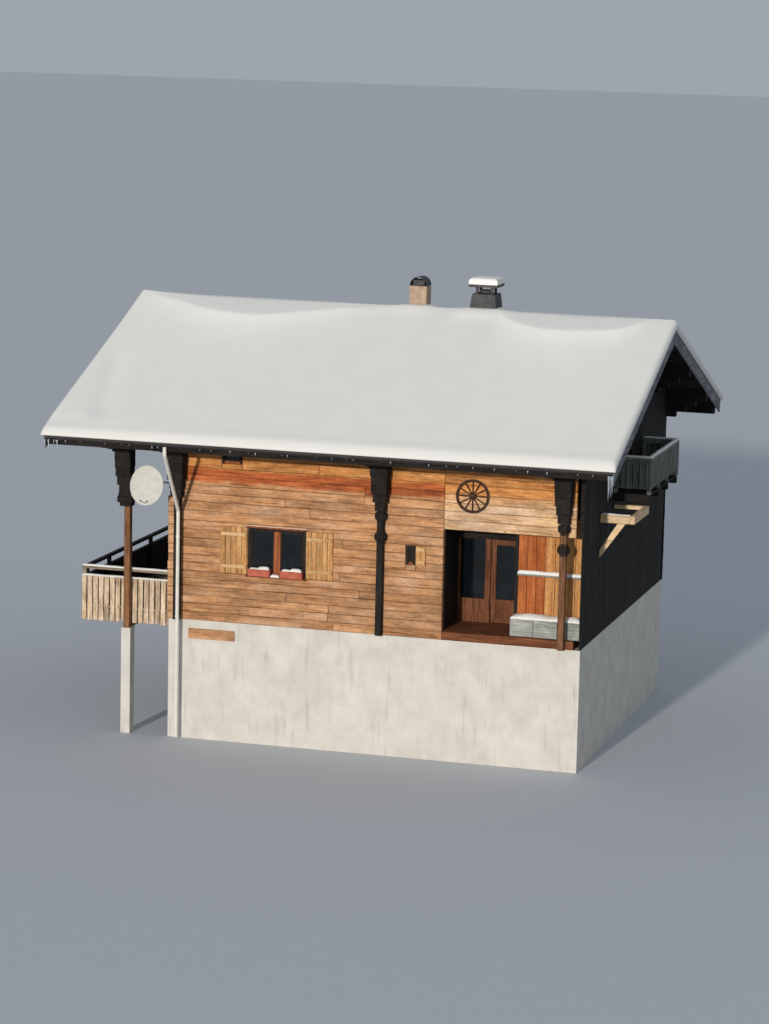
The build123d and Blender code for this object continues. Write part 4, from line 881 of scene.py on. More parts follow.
def purlin_underside(y):
    """Height of the underside of a purlin whose middle is at y."""
    sides = (roof_line(y + side, TIMBERS_BELOW) for side in (-PURLIN_HALF, PURLIN_HALF))
    return float(min(sides)) - PURLIN_HIGH


def console(x, wall_y, outward, top):
    """One stack of log ends, from the purlin down to the post."""
    rows = []
    for upper, lower in zip(LOG_DROPS, LOG_DROPS[1:]):
        middle = (upper + lower) / 2
        reach = float(np.interp(middle, REACH_DROPS, REACHES)) + DRAW.uniform(-0.012, 0.008)
        half = float(np.interp(middle, WIDTH_DROPS, HALF_WIDTHS)) + DRAW.uniform(-0.008, 0.008)
        y0, y1 = sorted((wall_y, wall_y + outward * reach))
        rows.append((x - half, x + half, y0, y1, top - lower, top - upper))
    return rows


console_rows = []
for outward, wall_y, purlin_y in ((-1, 0.0, EAVE_PURLINS[0]), (1, BODY_DEPTH, EAVE_PURLINS[1])):
    for x in (GALLERY_POST, *WALL_POSTS):
        set_off = GALLERY_SET_OFF * outward if x == GALLERY_POST else 0.0
        console_rows += console(x, wall_y + set_off, outward, purlin_underside(purlin_y))
consoles = timbers("stacked_consoles", console_rows, WOODS["dark_y"], "dark_timber", 0.010)
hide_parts("eave_consoles")

# %% [markdown]
# ## Posts with turned knobs
#
# Under each console stands a post against the wall, and the middle and right ones carry
# two fat turned knobs. Turned work is a lathe job: one half outline is spun round an axis.
# The backs of the knobs are cut flat, where they meet the logs.

# %% Turned work
LATHE_SIDES = 28


def turned(outline, centre=(0, 0, 0), axis="z", sides=LATHE_SIDES, hollow=False):
    """A shape spun from radii and heights, round z or y; a hollow one is a closed ring."""
    points, faces = [], []
    for radius, along in outline:
        for k in range(sides):
            angle = math.tau * k / sides
            u, v = radius * math.cos(angle), radius * math.sin(angle)
            offset = (u, v, along) if axis == "z" else (u, -along, v)
            points.append([c + o for c, o in zip(centre, offset)])
    for i in range(len(outline) if hollow else len(outline) - 1):
        this, after = i * sides, (i + 1) % len(outline) * sides
        for k in range(sides):
            n = (k + 1) % sides
            faces.append((this + k, this + n, after + n, after + k))
    if not hollow:
        faces.append(tuple(range(sides))[::-1])
        faces.append(tuple(range(len(points) - sides, len(points))))
    return np.array(points), faces


def joined(parts):
    """Several point and face lists made into one."""
    points, faces = [], []
    for some_points, some_faces in parts:
        faces += [[len(points) + i for i in face] for face in some_faces]
        points += [list(p) for p in some_points]
    return points, faces


# %% Wall posts
POST_HALF, POST_DEEP = 0.08, 0.16
KNOB_OUTLINE = (
    (0.086, -0.150), (0.104, -0.140), (0.104, -0.120), (0.082, -0.108), (0.130, -0.088),
    (0.150, -0.050), (0.155, 0.0), (0.150, 0.050), (0.130, 0.088), (0.082, 0.108),
    (0.104, 0.120), (0.104, 0.140), (0.086, 0.150),
)
KNOB_DROPS = (0.13, 0.64)
FOOT_FRONT, FOOT_BACK = (purlin_underside(y) - CONSOLE_HIGH for y in EAVE_PURLINS)
dark_posts, porch_posts, knobs = [], [], []
for x in WALL_POSTS:
    x0, x1 = x - POST_HALF, x + POST_HALF
    at_front = porch_posts if x == WALL_POSTS[-1] else dark_posts
    at_front.append((x0, x1, -POST_DEEP, 0, WALL_FOOT, FOOT_FRONT))
    dark_posts.append((x0, x1, BODY_DEPTH, BODY_DEPTH + POST_DEEP, WALL_FOOT, FOOT_BACK))
for x in WALL_POSTS[1:]:
    for drop in KNOB_DROPS:
        near, faces = turned(KNOB_OUTLINE, (x, -POST_HALF, FOOT_FRONT - drop))
        near[:, 1] = np.minimum(near[:, 1], 0)
        far, faces = turned(KNOB_OUTLINE, (x, BODY_DEPTH + POST_HALF, FOOT_BACK - drop))
        far[:, 1] = np.maximum(far[:, 1], BODY_DEPTH)
        knobs += [(near, faces), (far, faces)]
for made in (
    timbers("dark_wall_posts", dark_posts, WOODS["dark_z"], "dark_timber", 0.014),
    timbers("porch_corner_post", porch_posts, WOODS["porch_post"], "brown_joinery", 0.014),
    piece("turned_knobs", *joined(knobs), WOODS["dark_z"], "dark_timber", smooth=True),
):
    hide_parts("wall_posts")
print("turned knobs:", len(knobs))

# %% Gallery posts with their broad capitals
PIER_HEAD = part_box("gallery_piers")[1].z
CAPITAL_HALF, CAPITAL_HIGH = 0.20, 0.33
POST_BACK, PLATE_IN = 0.15, 0.09
CAPITAL_STEPS = ((0, 0.3, 0.05), (0.3, 0.75, 0.0), (0.75, 1, 0.02))
shafts, capitals = [], []
for side, wall_y, foot in ((1, 0, FOOT_FRONT), (-1, BODY_DEPTH, FOOT_BACK)):
    back, near = wall_y - side * GALLERY_SET_OFF, wall_y + side * POST_BACK
    y0, y1 = sorted((back, near))
    x0, x1 = GALLERY_POST - POST_HALF, GALLERY_POST + POST_HALF
    shafts.append((x0, x1, y0, y1, PIER_HEAD, foot - CAPITAL_HIGH))
    capitals.append((x0, x1, y0, y1, foot, purlin_underside(wall_y + side * PLATE_IN)))
    c0, c1 = sorted((back - side * 0.19, near + side * 0.02))
    for low, high, spread in CAPITAL_STEPS:
        half = CAPITAL_HALF - spread
        capitals.append((GALLERY_POST - half, GALLERY_POST + half, c0 + spread, c1 - spread,
                         foot - CAPITAL_HIGH * (1 - low), foot - CAPITAL_HIGH * (1 - high)))
for made in (
    timbers("gallery_post_shafts", shafts, WOODS["gallery_post"], "brown_joinery", 0.014),
    timbers("gallery_capitals", capitals, WOODS["dark_y"], "dark_timber", 0.012),
):
    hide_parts("gallery_posts")

# %% Log ends at the corners
CORNER_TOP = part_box("corner_log_ends")[1].z
END_OUT, END_PLAY = 0.06, 0.01
LEFT_ENDS, RIGHT_ENDS, BACK_ENDS = (-0.03, 0.15), (10.31, 10.43), (10.25, 10.43)
BACK_END = BODY_DEPTH + END_OUT
pale_ends = []
for y0, y1, head in ((-END_OUT, 0, FOOT_FRONT), (BODY_DEPTH, BACK_END, FOOT_BACK)):
    for x0, x1, low, high in courses(*LEFT_ENDS, WALL_FOOT, head):
        step = DRAW.uniform(0, 0.014)
        y_in = y0 + step if y0 < 0 else y0
        y_out = y1 if y0 < 0 else y1 - step
        pale_ends.append((x0 + step, x1, y_in, y_out, low, high))
dark_ends = [(x0 + DRAW.uniform(0, END_PLAY), x1, -END_OUT, 0, low, high)
             for x0, x1, low, high in courses(*RIGHT_ENDS, PORCH_HEAD, CORNER_TOP)]
dark_ends += [(x0, x1 - DRAW.uniform(0, END_PLAY), BODY_DEPTH, BACK_END, low, high)
              for x0, x1, low, high in courses(*BACK_ENDS, WALL_FOOT, FOOT_BACK)]
for made in (
    timbers("corner_log_stack", pale_ends, WOODS["log_end"], "wall_timber", 0.014),
    timbers("dark_corner_log_stack", dark_ends, WOODS["dark_x"], "dark_timber", 0.012),
):
    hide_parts("corner_log_ends")

# %% [markdown]
# ## Windows and shutters
#
# Each opening has a fixed frame and, inside it, a slimmer sash that is stained almost
# black and divides the pane with thin bars. The frames are drawn once in a window's own
# terms, across, inwards and up, and then turned to the wall they belong to. The shutters
# are upright boards held by two paler battens, folded back against the logs.

# %% Frames and sashes
FRAME_SIDE, SASH, MULLION = 0.065, 0.045, 0.17
SETBACK, FRAME_DEEP, SASH_IN, BAR_IN = 0.04, 0.07, 0.012, 0.008
BAR, KICK_BOARD = 0.022, 0.58


def window(u0, u1, z0, z1, lights=1, kick=0.0, bars=0):
    """Frame rows and sash rows of one opening, as across, inward and up."""
    near, far = SETBACK, SETBACK + FRAME_DEEP
    left, right = u0 + FRAME_SIDE, u1 - FRAME_SIDE
    head, low = z1 - FRAME_SIDE, z0 + max(FRAME_SIDE, kick)
    fixed = [(u0, left, near, far, z0, z1), (right, u1, near, far, z0, z1),
             (left, right, near, far, head, z1), (left, right, near, far, z0, low)]
    spans = [(left, right)]
    if lights == 2:
        m0, m1 = (u0 + u1 - MULLION) / 2, (u0 + u1 + MULLION) / 2
        fixed.append((m0, m1, near - 0.02, far, low, head))
        spans = [(left, m0), (m1, right)]
    sashes = []
    s0, s1 = near + SASH_IN, far - SASH_IN
    for a, b in spans:
        sashes += [(a, a + SASH, s0, s1, low, head), (b - SASH, b, s0, s1, low, head),
                   (a + SASH, b - SASH, s0, s1, low, low + SASH),
                   (a + SASH, b - SASH, s0, s1, head - SASH, head)]
        for bar in range(bars):
            z = low + (head - low) * (bar + 1) / (bars + 1)
            sashes.append((a + SASH, b - SASH, s0 + BAR_IN, s1 - BAR_IN, z - BAR / 2,
                           z + BAR / 2))
    return fixed, sashes


def turn_to(wall, rows):
    """Window rows turned to the front, back, left or right wall."""
    turned_rows = []
    for u0, u1, d0, d1, z0, z1 in rows:
        if wall == "back":
            d0, d1 = BODY_DEPTH - d1, BODY_DEPTH - d0
        if wall == "right":
            d0, d1 = BODY_LENGTH - d1, BODY_LENGTH - d0
        sides = (u0, u1, d0, d1) if wall in ("front", "back") else (d0, d1, u0, u1)
        turned_rows.append((*sides, z0, z1))
    return turned_rows


# %% Every window and upper door
OPENINGS = (
    ("front", MAIN_WINDOW, 2, 0, 0), ("front", SMALL_WINDOW, 1, 0, 0),
    ("front", ATTIC_WINDOW, 1, 0, 0), ("back", back_openings[0], 2, 0, 1),
    ("back", back_openings[1], 1, 0, 0), ("back", back_openings[2], 2, 0, 1),
    ("back", back_openings[3], 1, 0, 0), ("left", LEFT_DOOR, 1, KICK_BOARD, 1),
    ("left", LEFT_WINDOW, 2, 0, 1), ("right", RIGHT_DOOR, 1, KICK_BOARD, 1),
)
frame_rows, sash_rows, gable_rows = [], [], []
for wall, opening, lights, kick, bars in OPENINGS:
    fixed, sashes = window(*opening, lights, kick, bars)
    # On the front the jambs and the head are dark, like the sashes.
    dark = 3 if wall == "front" else 0
    rows = frame_rows if wall == "front" else gable_rows
    rows += turn_to(wall, fixed[dark:])
    sash_rows += turn_to(wall, sashes + fixed[:dark])
x0, x1 = MAIN_WINDOW[:2]
frame_rows.append((x0 - 0.02, x1 + 0.02, -0.15, 0.02, SILL - 0.03, SILL))
frame_rows.append((x0 - 0.04, x1 + 0.04, -0.035, 0.0, LINTEL, LINTEL + 0.045))
for made in (
    timbers("window_frame_joinery", frame_rows, WOODS["joinery"], "brown_joinery", 0.008),
    timbers("gable_and_back_frames", gable_rows, WOODS["door"], "brown_joinery", 0.008),
    timbers("window_sashes", sash_rows, WOODS["sash"], "brown_joinery", 0.006),
):
    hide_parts("window_frames")

# %% Shutters
SHUTTER_WIDE, SHUTTER_GAP, SHUTTER_THICK = 0.69, 0.012, 0.032
BATTEN_THICK, BATTEN_HIGH = 0.024, 0.09
BATTEN_PLACES = (0.16, 0.84)
BOARD_GAP, BATTEN_IN = 0.004, 0.02


def shutter_pair(start):
    """Both shutters of a main window, as x0, x1, z0, z1 and a number of boards."""
    left, right = start - SHUTTER_GAP, start + WINDOW_WIDE + SHUTTER_GAP
    return [(left - SHUTTER_WIDE, left, SILL, LINTEL, 5),
            (right, right + SHUTTER_WIDE, SILL, LINTEL, 5)]


small_start = SMALL_WINDOW[1] + SHUTTER_GAP
front_leaves = shutter_pair(MAIN_WINDOW[0])
front_leaves.append((small_start, small_start + 0.25, *SMALL_WINDOW[2:], 2))
back_leaves = [leaf for start in BACK_STARTS for leaf in shutter_pair(start)]
shutter_boards, shutter_battens = [], []
for leaves, face, out in ((front_leaves, 0, -1), (back_leaves, BODY_DEPTH, 1)):
    for x0, x1, z0, z1, count in leaves:
        edges = np.linspace(x0, x1, count + 1)
        for a, b in zip(edges, edges[1:]):
            y0, y1 = sorted((face, face + out * (SHUTTER_THICK - DRAW.uniform(0, 0.006))))
            shutter_boards.append((a, b - BOARD_GAP, y0, y1, z0, z1))
        y0, y1 = sorted((face + out * 0.026, face + out * (SHUTTER_THICK + BATTEN_THICK)))
        for share in BATTEN_PLACES:
            low = z0 + share * (z1 - z0) - BATTEN_HIGH / 2
            shutter_battens.append((x0 + BATTEN_IN, x1 - BATTEN_IN, y0, y1, low,
                                    low + BATTEN_HIGH))
for made in (
    timbers("shutter_boards", shutter_boards, WOODS["ochre"], "pale_boards", 0.007),
    timbers("shutter_battens", shutter_battens, WOODS["batten"], "pale_boards", 0.006),
):
    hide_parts("shutters")

# %% [markdown]
# ## Snow on ledges, rails and boxes
#
# Fresh snow caps every flat edge with a small round pillow. A pillow is a grid of points
# over the edge's outline, highest along its middle and rolled down at its rim, with a low
# wave so that no two stretches are alike. All pillows of one kind are joined in one mesh.

# %% A helper for small pillows of snow
PILLOW_STEP, PILLOW_LIP = 0.06, 0.003


def pillow(x0, x1, y0, y1, z, high):
    """Points and faces of one closed pillow of snow that lies on a flat edge."""
    roll = min(x1 - x0, y1 - y0) / 2
    lines = []
    for low, span in ((x0, x1 - x0), (y0, y1 - y0)):
        inner = np.linspace(roll * 0.7, span - roll * 0.7, max(4, round(span / PILLOW_STEP)))
        rim = [0, roll * 0.06, roll * 0.2, roll * 0.42]
        lines.append(low + np.array([*rim, *inner, *[span - r for r in rim[::-1]]]))
    across, along = np.meshgrid(*lines, indexing="ij")
    edge = np.minimum(np.minimum(across - x0, x1 - across), np.minimum(along - y0, y1 - along))
    wave = 1 + 0.22 * gentle(across * 3, along * 3, int(z * 977), 1.6)
    height = high * wave * np.sqrt(np.clip(1 - (1 - np.clip(edge / roll, 0, 1)) ** 2, 0, 1))
    top = np.dstack([across, along, z + np.maximum(height, PILLOW_LIP)])
    return slab(top, np.dstack([across, along, np.full_like(across, z)]))[:2]


def snow_pillows(name, rows):
    """One piece of snow from rows of x0, x1, y0, y1, z, height."""
    print(f"{name}: {len(rows)} pillows")
    return piece(name, *joined([pillow(*row) for row in rows]), SNOW, "snow", smooth=True)


# %% Flower boxes with frozen earth and snow
BOX_WALL, BOX_HIGH, BOX_HALF = 0.02, 0.17, 0.28
BOX_Y0, BOX_Y1 = -0.15, 0.03
BOX_TOP = SILL + BOX_HIGH
EARTH_TOP = BOX_TOP - 0.03
box_rows, box_snow = [], []
for middle in (2.35875, 3.18625):
    x0, x1 = middle - BOX_HALF, middle + BOX_HALF
    in_x0, in_x1, in_y0, in_y1 = x0 + BOX_WALL, x1 - BOX_WALL, BOX_Y0 + BOX_WALL, BOX_Y1 - BOX_WALL
    box_rows += [(x0, x1, BOX_Y0, in_y0, SILL, BOX_TOP), (x0, x1, in_y1, BOX_Y1, SILL, BOX_TOP),
                 (x0, in_x0, in_y0, in_y1, SILL, BOX_TOP),
                 (in_x1, x1, in_y0, in_y1, SILL, BOX_TOP),
                 (in_x0, in_x1, in_y0, in_y1, SILL, EARTH_TOP),
                 (x0 - 0.006, x1 + 0.006, BOX_Y0 - 0.006, BOX_Y0 + 0.012, BOX_TOP - 0.022,
                  BOX_TOP + 0.002)]
    box_snow += [(x0 + 0.03, middle - 0.02, in_y0, in_y1, EARTH_TOP, 0.075),
                 (middle - 0.05, x1 - 0.02, in_y0, in_y1, EARTH_TOP, 0.10)]
x0, x1 = MAIN_WINDOW[:2]
box_snow += [(2.66, 2.89, BOX_Y0 + 0.005, 0.0, SILL, 0.06),
             (x0 - 0.04, x1 + 0.04, -0.034, -0.002, LINTEL + 0.045, 0.012)]
flower_boxes = timbers("flower_box_troughs", box_rows, CLAY, "terracotta", 0.006)
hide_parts("flower_boxes")
snow_pillows("window_snow", box_snow)

# %% [markdown]
# ## The porch screen and bench
#
# Beside the recess the wall steps back and is closed by upright boards: a few stained red,
# the rest left honey-coloured, with a narrow ledge across them and a bench below. Boards
# are cheap to draw one by one, so each gets its own edge, its own tone and a hair of play.

# %% Screen boards, ledge and bench
SCREEN_Y, SCREEN_DEEP = 0.50, 0.06
SCREEN_X0, SCREEN_TURN, SCREEN_X1 = 8.71, 9.37, 10.36
FLOOR_TOP = 3.2
SCREEN_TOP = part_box("porch_red_boards")[1].z


def screen(x0, x1, wide):
    """Upright boards that fill the screen from x0 to x1."""
    edges = np.linspace(x0, x1, round((x1 - x0) / wide) + 1)
    return [(a + 0.001, b - 0.001, SCREEN_Y + DRAW.uniform(0, 0.006), SCREEN_Y + SCREEN_DEEP,
             FLOOR_TOP, SCREEN_TOP) for a, b in zip(edges, edges[1:])]


red_screen = timbers("red_screen_boards", screen(SCREEN_X0, SCREEN_TURN, 0.22),
                     WOODS["red"], "red_boards", 0.010)
honey_screen = timbers("honey_screen_boards", screen(SCREEN_TURN, SCREEN_X1 - 0.001, 0.247),
                       WOODS["honey"], "pale_boards", 0.010)
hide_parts("porch_red_boards")
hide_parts("porch_pale_boards")

SEAT_TOP, LEDGE_TOP, SEAT_THICK = 3.63, 4.695, 0.028
SEAT_X0, SEAT_UNDER = 8.62, SEAT_TOP - SEAT_THICK
bench_rows = [(SEAT_X0, SCREEN_X1, y0, y1, SEAT_UNDER, SEAT_TOP)
              for y0, y1 in ((0.14, 0.256), (0.262, 0.378), (0.384, SCREEN_Y))]
bench_rows += [(a, b, 0.168, 0.196, FLOOR_TOP, SEAT_UNDER)
               for a, b in ((SEAT_X0, 9.19), (9.195, 9.78), (9.785, SCREEN_X1))]
bench_rows += [(x, x + SEAT_THICK, 0.196, SCREEN_Y, FLOOR_TOP, SEAT_UNDER)
               for x in (SEAT_X0, SCREEN_X1 - SEAT_THICK)]
bench_rows.append((SCREEN_X0, SCREEN_X1, 0.39, SCREEN_Y, LEDGE_TOP - 0.045, LEDGE_TOP))
bench = timbers("porch_bench_boards", bench_rows, WOODS["bench"], "grey_timber", 0.006)
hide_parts("porch_bench_and_ledge")
snow_pillows("porch_snow", [(8.72, 10.35, 0.386, 0.497, LEDGE_TOP, 0.075),
                            (8.63, 10.35, 0.138, 0.495, SEAT_TOP, 0.10)])

# %% [markdown]
# ## Copies in a row
#
# Slats, icicles and gutter brackets are all one thing repeated along a line, with small
# differences. That is work for Geometry Nodes: a short tree sets out points, puts a copy
# of a pattern on each, and varies length, thickness, lean and place by a fixed seed. The
# tree is run once, what it made is kept as plain mesh, and the tree is taken off again.

# %% Parts that every tree shares
COMMON = (("Pattern", "Object"), ("Finish", "Material"), ("Count", "Int"), ("Seed", "Int"))


def named_tree(name, inputs):
    """A Geometry Nodes tree with the common inputs and its own, and its two ends."""
    tree = bpy.data.node_groups.new(name, "GeometryNodeTree")
    for label, kind in (("Geometry", "Geometry"), *COMMON, *inputs):
        tree.interface.new_socket(label, in_out="INPUT", socket_type="NodeSocket" + kind)
    tree.interface.new_socket("Geometry", in_out="OUTPUT", socket_type="NodeSocketGeometry")
    return tree, tree.nodes.new("NodeGroupInput").outputs, tree.nodes.new("NodeGroupOutput")


def drawn(tree, low, high, seed):
    """A random number for each copy."""
    sockets = {2: low, 3: high, 8: seed}
    return add(tree, "FunctionNodeRandomValue", sockets, data_type="FLOAT").outputs[1]


def either_way(tree, reach, seed):
    """A random vector for each copy, up to a reach or its opposite."""
    back = {0: reach, "Scale": -1.0}
    back = add(tree, "ShaderNodeVectorMath", back, operation="SCALE").outputs[0]
    sockets = {0: back, 1: reach, 8: seed}
    return add(tree, "FunctionNodeRandomValue", sockets, data_type="FLOAT_VECTOR").outputs[0]


def finished(tree, points, rotation, scale, given, end):
    """Copies on points, each with a tone, made real and given their finish."""
    what = add(tree, "GeometryNodeObjectInfo", {"Object": given["Pattern"]}).outputs["Geometry"]
    sockets = {"Points": points, "Instance": what, "Rotation": rotation, "Scale": scale}
    copies = add(tree, "GeometryNodeInstanceOnPoints", sockets).outputs[0]
    toned = {"Geometry": copies, "Name": "tone", "Value": drawn(tree, 0.0, 1.0, given["Seed"])}
    copies = add(tree, "GeometryNodeStoreNamedAttribute", toned, domain="INSTANCE").outputs[0]
    real = add(tree, "GeometryNodeRealizeInstances", {"Geometry": copies}).outputs[0]
    sockets = {"Geometry": real, "Material": given["Finish"]}
    done = add(tree, "GeometryNodeSetMaterial", sockets).outputs[0]
    tree.links.new(done, end.inputs[0])


# %% The tree for rows
ROW, given, end = named_tree("copies_in_a_row", (
    ("Start", "Vector"), ("Step", "Vector"), ("Wander", "Vector"), ("Lean", "Vector"),
    ("Shortest", "Float"), ("Longest", "Float"), ("Thinnest", "Float"),
))
sockets = {"Count": given["Count"], "Start Location": given["Start"], "Offset": given["Step"]}
line = add(ROW, "GeometryNodeMeshLine", sockets, mode="OFFSET").outputs[0]
stray = either_way(ROW, given["Wander"], given["Seed"])
line = add(ROW, "GeometryNodeSetPosition", {"Geometry": line, "Offset": stray}).outputs[0]
lean = either_way(ROW, given["Lean"], given["Seed"])
length = drawn(ROW, given["Shortest"], given["Longest"], given["Seed"])
thick = drawn(ROW, given["Thinnest"], 1.0, given["Seed"])
size = add(ROW, "ShaderNodeCombineXYZ", {"X": thick, "Y": thick, "Z": length}).outputs[0]
finished(ROW, line, lean, size, given, end)
print("nodes of the row tree:", len(ROW.nodes))


# %% Running a tree
def board_pattern(name, size, bevel):
    """A bevelled board whose top is at the pattern's own height 0."""
    size = np.array(size)
    points = SIGNS * (size / 2 - SET_IN * bevel) - np.array([0, 0, size[2] / 2])
    return loose(name, points, BOX_FACES, groove=ARRIS)


def grown(name, tree, what, finish, slot, body="house", **settings):
    """Runs a tree once and keeps what it made as a finished piece."""
    holder = bpy.data.objects.new(name, bpy.data.meshes.new(name))
    bpy.context.scene.collection.objects.link(holder)
    modifier = holder.modifiers.new(tree.name, "NODES")
    modifier.node_group = tree
    settings.update(Pattern=what, Finish=finish)
    for socket in tree.interface.items_tree:
        if socket.in_out == "INPUT" and socket.name in settings:
            modifier[socket.identifier] = settings[socket.name]
    graph = bpy.context.evaluated_depsgraph_get()
    made = bpy.data.meshes.new_from_object(holder.evaluated_get(graph))
    holder.modifiers.remove(modifier)
    made.name = name
    holder.data = made
    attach(holder, body)
    print(f"{name}: {settings['Count']} copies, {len(made.polygons)} faces")
    return holder


def row(name, what, finish, slot, start, stop, count, seed, short=1.0, long=1.0, thin=1.0,
        wander=(0, 0, 0), lean=(0, 0, 0)):
    """Copies of a pattern from one place to another, both counted in."""
    start, stop = Vector(start), Vector(stop)
    step = (stop - start) / (count - 1)
    return grown(name, ROW, what, finish, slot, Start=start + Vector(CORNER), Step=step,
                 Count=count, Seed=seed, Shortest=short, Longest=long, Thinnest=thin,
                 Wander=Vector(wander), Lean=Vector(lean))


# %% [markdown]
# ## The gallery's railings
#
# The gallery runs along the left gable. Its railing is a fence of sawn slats that hang
# down past the edge of the floor, nailed to two rails, with a broad head rail on top. The
# near end has bleached to a light grey. The long side is seen from inside, in shade, and
# its slats and rails are painted near-black as that shade.

# %% Slats
SLAT_WIDE, SLAT_THICK = 0.105, 0.028
SLAT_TOP, SLAT_FOOT = 3.88, 2.745
GALLERY_Y0, GALLERY_Y1, GALLERY_X0 = 0.15, 9.55, -2.35
END_SLATS, SIDE_SLATS = 16, 64
RAIL_BACK = SLAT_THICK + 0.09
slat_high = SLAT_TOP - SLAT_FOOT
end_slat = board_pattern("end_slat", (0.132, SLAT_THICK, slat_high), 0.008)
side_slat = board_pattern("side_slat", (SLAT_THICK, SLAT_WIDE, slat_high), 0.006)
half_wide, half_thick = SLAT_WIDE / 2, SLAT_THICK / 2
for name, y, seed in (("gallery_near_slats", GALLERY_Y0 + half_thick, 5),
                      ("gallery_back_slats", GALLERY_Y1 - half_thick, 6)):
    made = row(name, end_slat, WOODS["gallery"], "grey_timber",
               (GALLERY_X0 + half_wide, y, SLAT_TOP), (-half_wide, y, SLAT_TOP), END_SLATS,
               seed, short=0.975, thin=0.88, lean=(0, 0.006, 0))
    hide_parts("gallery_end_railings")
x, y0, y1 = GALLERY_X0 + half_thick, GALLERY_Y0 + RAIL_BACK, GALLERY_Y1 - RAIL_BACK
# The long side's slats are painted near-black as its shade.
made = row("gallery_side_slats", side_slat, WOODS["painted_shade_rail"], "grey_timber",
           (x, y0 + half_wide, SLAT_TOP), (x, y1 - half_wide, SLAT_TOP), SIDE_SLATS,
           7, short=0.975, thin=0.92, lean=(0.006, 0, 0))
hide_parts("gallery_side_railing")

# %% Rails and posts
RAIL_HIGH, RAIL_POST = 0.07, 0.10


def railing_rows(u0, u1, near, far, head, levels, floor_z, posts):
    """Head rail, lower rails and posts of one railing, as across, deep and up."""
    back0, back1 = (near + SLAT_THICK, far) if far > near else (far, near - SLAT_THICK)
    rows = [(u0, u1, *sorted((near, far)), head - RAIL_HIGH, head)]
    rows += [(u0, u1, back0, back1, low, low + RAIL_HIGH) for low in levels]
    above = [z for z in levels if z > floor_z]
    for k in range(posts):
        u = u0 + (u1 - u0 - RAIL_POST) * k / (posts - 1)
        for low, high in zip((floor_z, *[z + RAIL_HIGH for z in above]),
                             (*above, head - RAIL_HIGH)):
            if high - low > 0.01:
                rows.append((u, u + RAIL_POST, back0, back1, low, high))
    return rows


def railings(x0, x1, y0, y1, outer, head, levels, floor_z, posts):
    """Rows of both ends of a railing round a platform, and rows of its outer side."""
    ends = []
    for y, into in ((y0, RAIL_BACK), (y1, -RAIL_BACK)):
        ends += railing_rows(x0, x1, y, y + into, head, levels, floor_z, 2)
    into = RAIL_BACK if outer == x0 else -RAIL_BACK
    side = railing_rows(y0 + RAIL_BACK, y1 - RAIL_BACK, outer, outer + into, head, levels,
                        floor_z, posts)
    return ends, [(d0, d1, u0, u1, z0, z1) for u0, u1, d0, d1, z0, z1 in side]


HEAD, LEVELS, DECK = 4.12, (3.085, 3.81), 3.05
end_rails, side_rails = railings(
    GALLERY_X0, 0, GALLERY_Y0, GALLERY_Y1, GALLERY_X0, HEAD, LEVELS, DECK, 7
)
end_rail_work = timbers("gallery_end_rails", end_rails, WOODS["rail"], "grey_timber", 0.008)
# Its rails too are painted near-black as shade.
side_rail_work = timbers(
    "gallery_side_rails", side_rails, WOODS["painted_shade_rail"], "grey_timber", 0.008
)
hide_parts("gallery_end_railings")
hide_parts("gallery_side_railing")

# %% [markdown]
# ## The attic balcony and its bracket
#
# The balcony on the right gable is closed by broad boards set almost edge to edge. Beside
# it a bracket of new, still yellow timber stands out from the wall on one slanting brace.

# %% Balcony
BALCONY_X0, BALCONY_X1 = 10.4, 11.34
BALCONY_Y0, BALCONY_Y1 = 3.14, 6.67
BALCONY_HEAD, BALCONY_FLOOR, BOARD_FOOT = 7.25, 6.34, 6.47
END_WIDE, OUTER_WIDE = 0.142, 0.134
board_top = BALCONY_HEAD - RAIL_HIGH
board_high = board_top - BOARD_FOOT
end_board = board_pattern("balcony_end_board", (END_WIDE, SLAT_THICK, board_high), 0.008)
outer_board = board_pattern("balcony_outer_board", (SLAT_THICK, OUTER_WIDE, board_high), 0.008)
x0, x1 = BALCONY_X0 + END_WIDE / 2, BALCONY_X1 - END_WIDE / 2
for name, y, seed in (("balcony_near_boards", BALCONY_Y0 + half_thick, 8),
                      ("balcony_far_boards", BALCONY_Y1 - half_thick, 9)):
    made = row(name, end_board, WOODS["balcony"], "balcony_timber", (x0, y, board_top),
               (x1, y, board_top), 6, seed, short=0.985, thin=0.96)
    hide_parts("balcony_end_railings")
inner = RAIL_BACK + OUTER_WIDE / 2
x, y0, y1 = BALCONY_X1 - half_thick, BALCONY_Y0 + inner, BALCONY_Y1 - inner
made = row("balcony_outer_boards", outer_board, WOODS["balcony"], "balcony_timber",
           (x, y0, board_top), (x, y1, board_top), 22, 10, short=0.985, thin=0.96)
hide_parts("balcony_outer_railing")
ends, outer = railings(BALCONY_X0, BALCONY_X1, BALCONY_Y0, BALCONY_Y1, BALCONY_X1, BALCONY_HEAD,
                       (BOARD_FOOT, BALCONY_HEAD - 2 * RAIL_HIGH), BALCONY_FLOOR, 4)
end_work = timbers("balcony_end_rails", ends, WOODS["balcony_rail"], "balcony_timber", 0.008)
outer_work = timbers("balcony_outer_rails", outer, WOODS["balcony_rail"], "balcony_timber", 0.008)
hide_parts("balcony_end_railings")
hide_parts("balcony_outer_railing")

# %% Bracket
ARM, ARM_TOP, ARM_LOW = 0.12, 6.02, 5.82
BRACKET_X1, BRACKET_Y0, BRACKET_Y1 = 11.25, 1.79, 3.49
BRACE_HEAD, BRACE_FOOT, BRACE = 11.02, 4.95, 0.19
BEAM_X0 = BRACKET_X1 - ARM


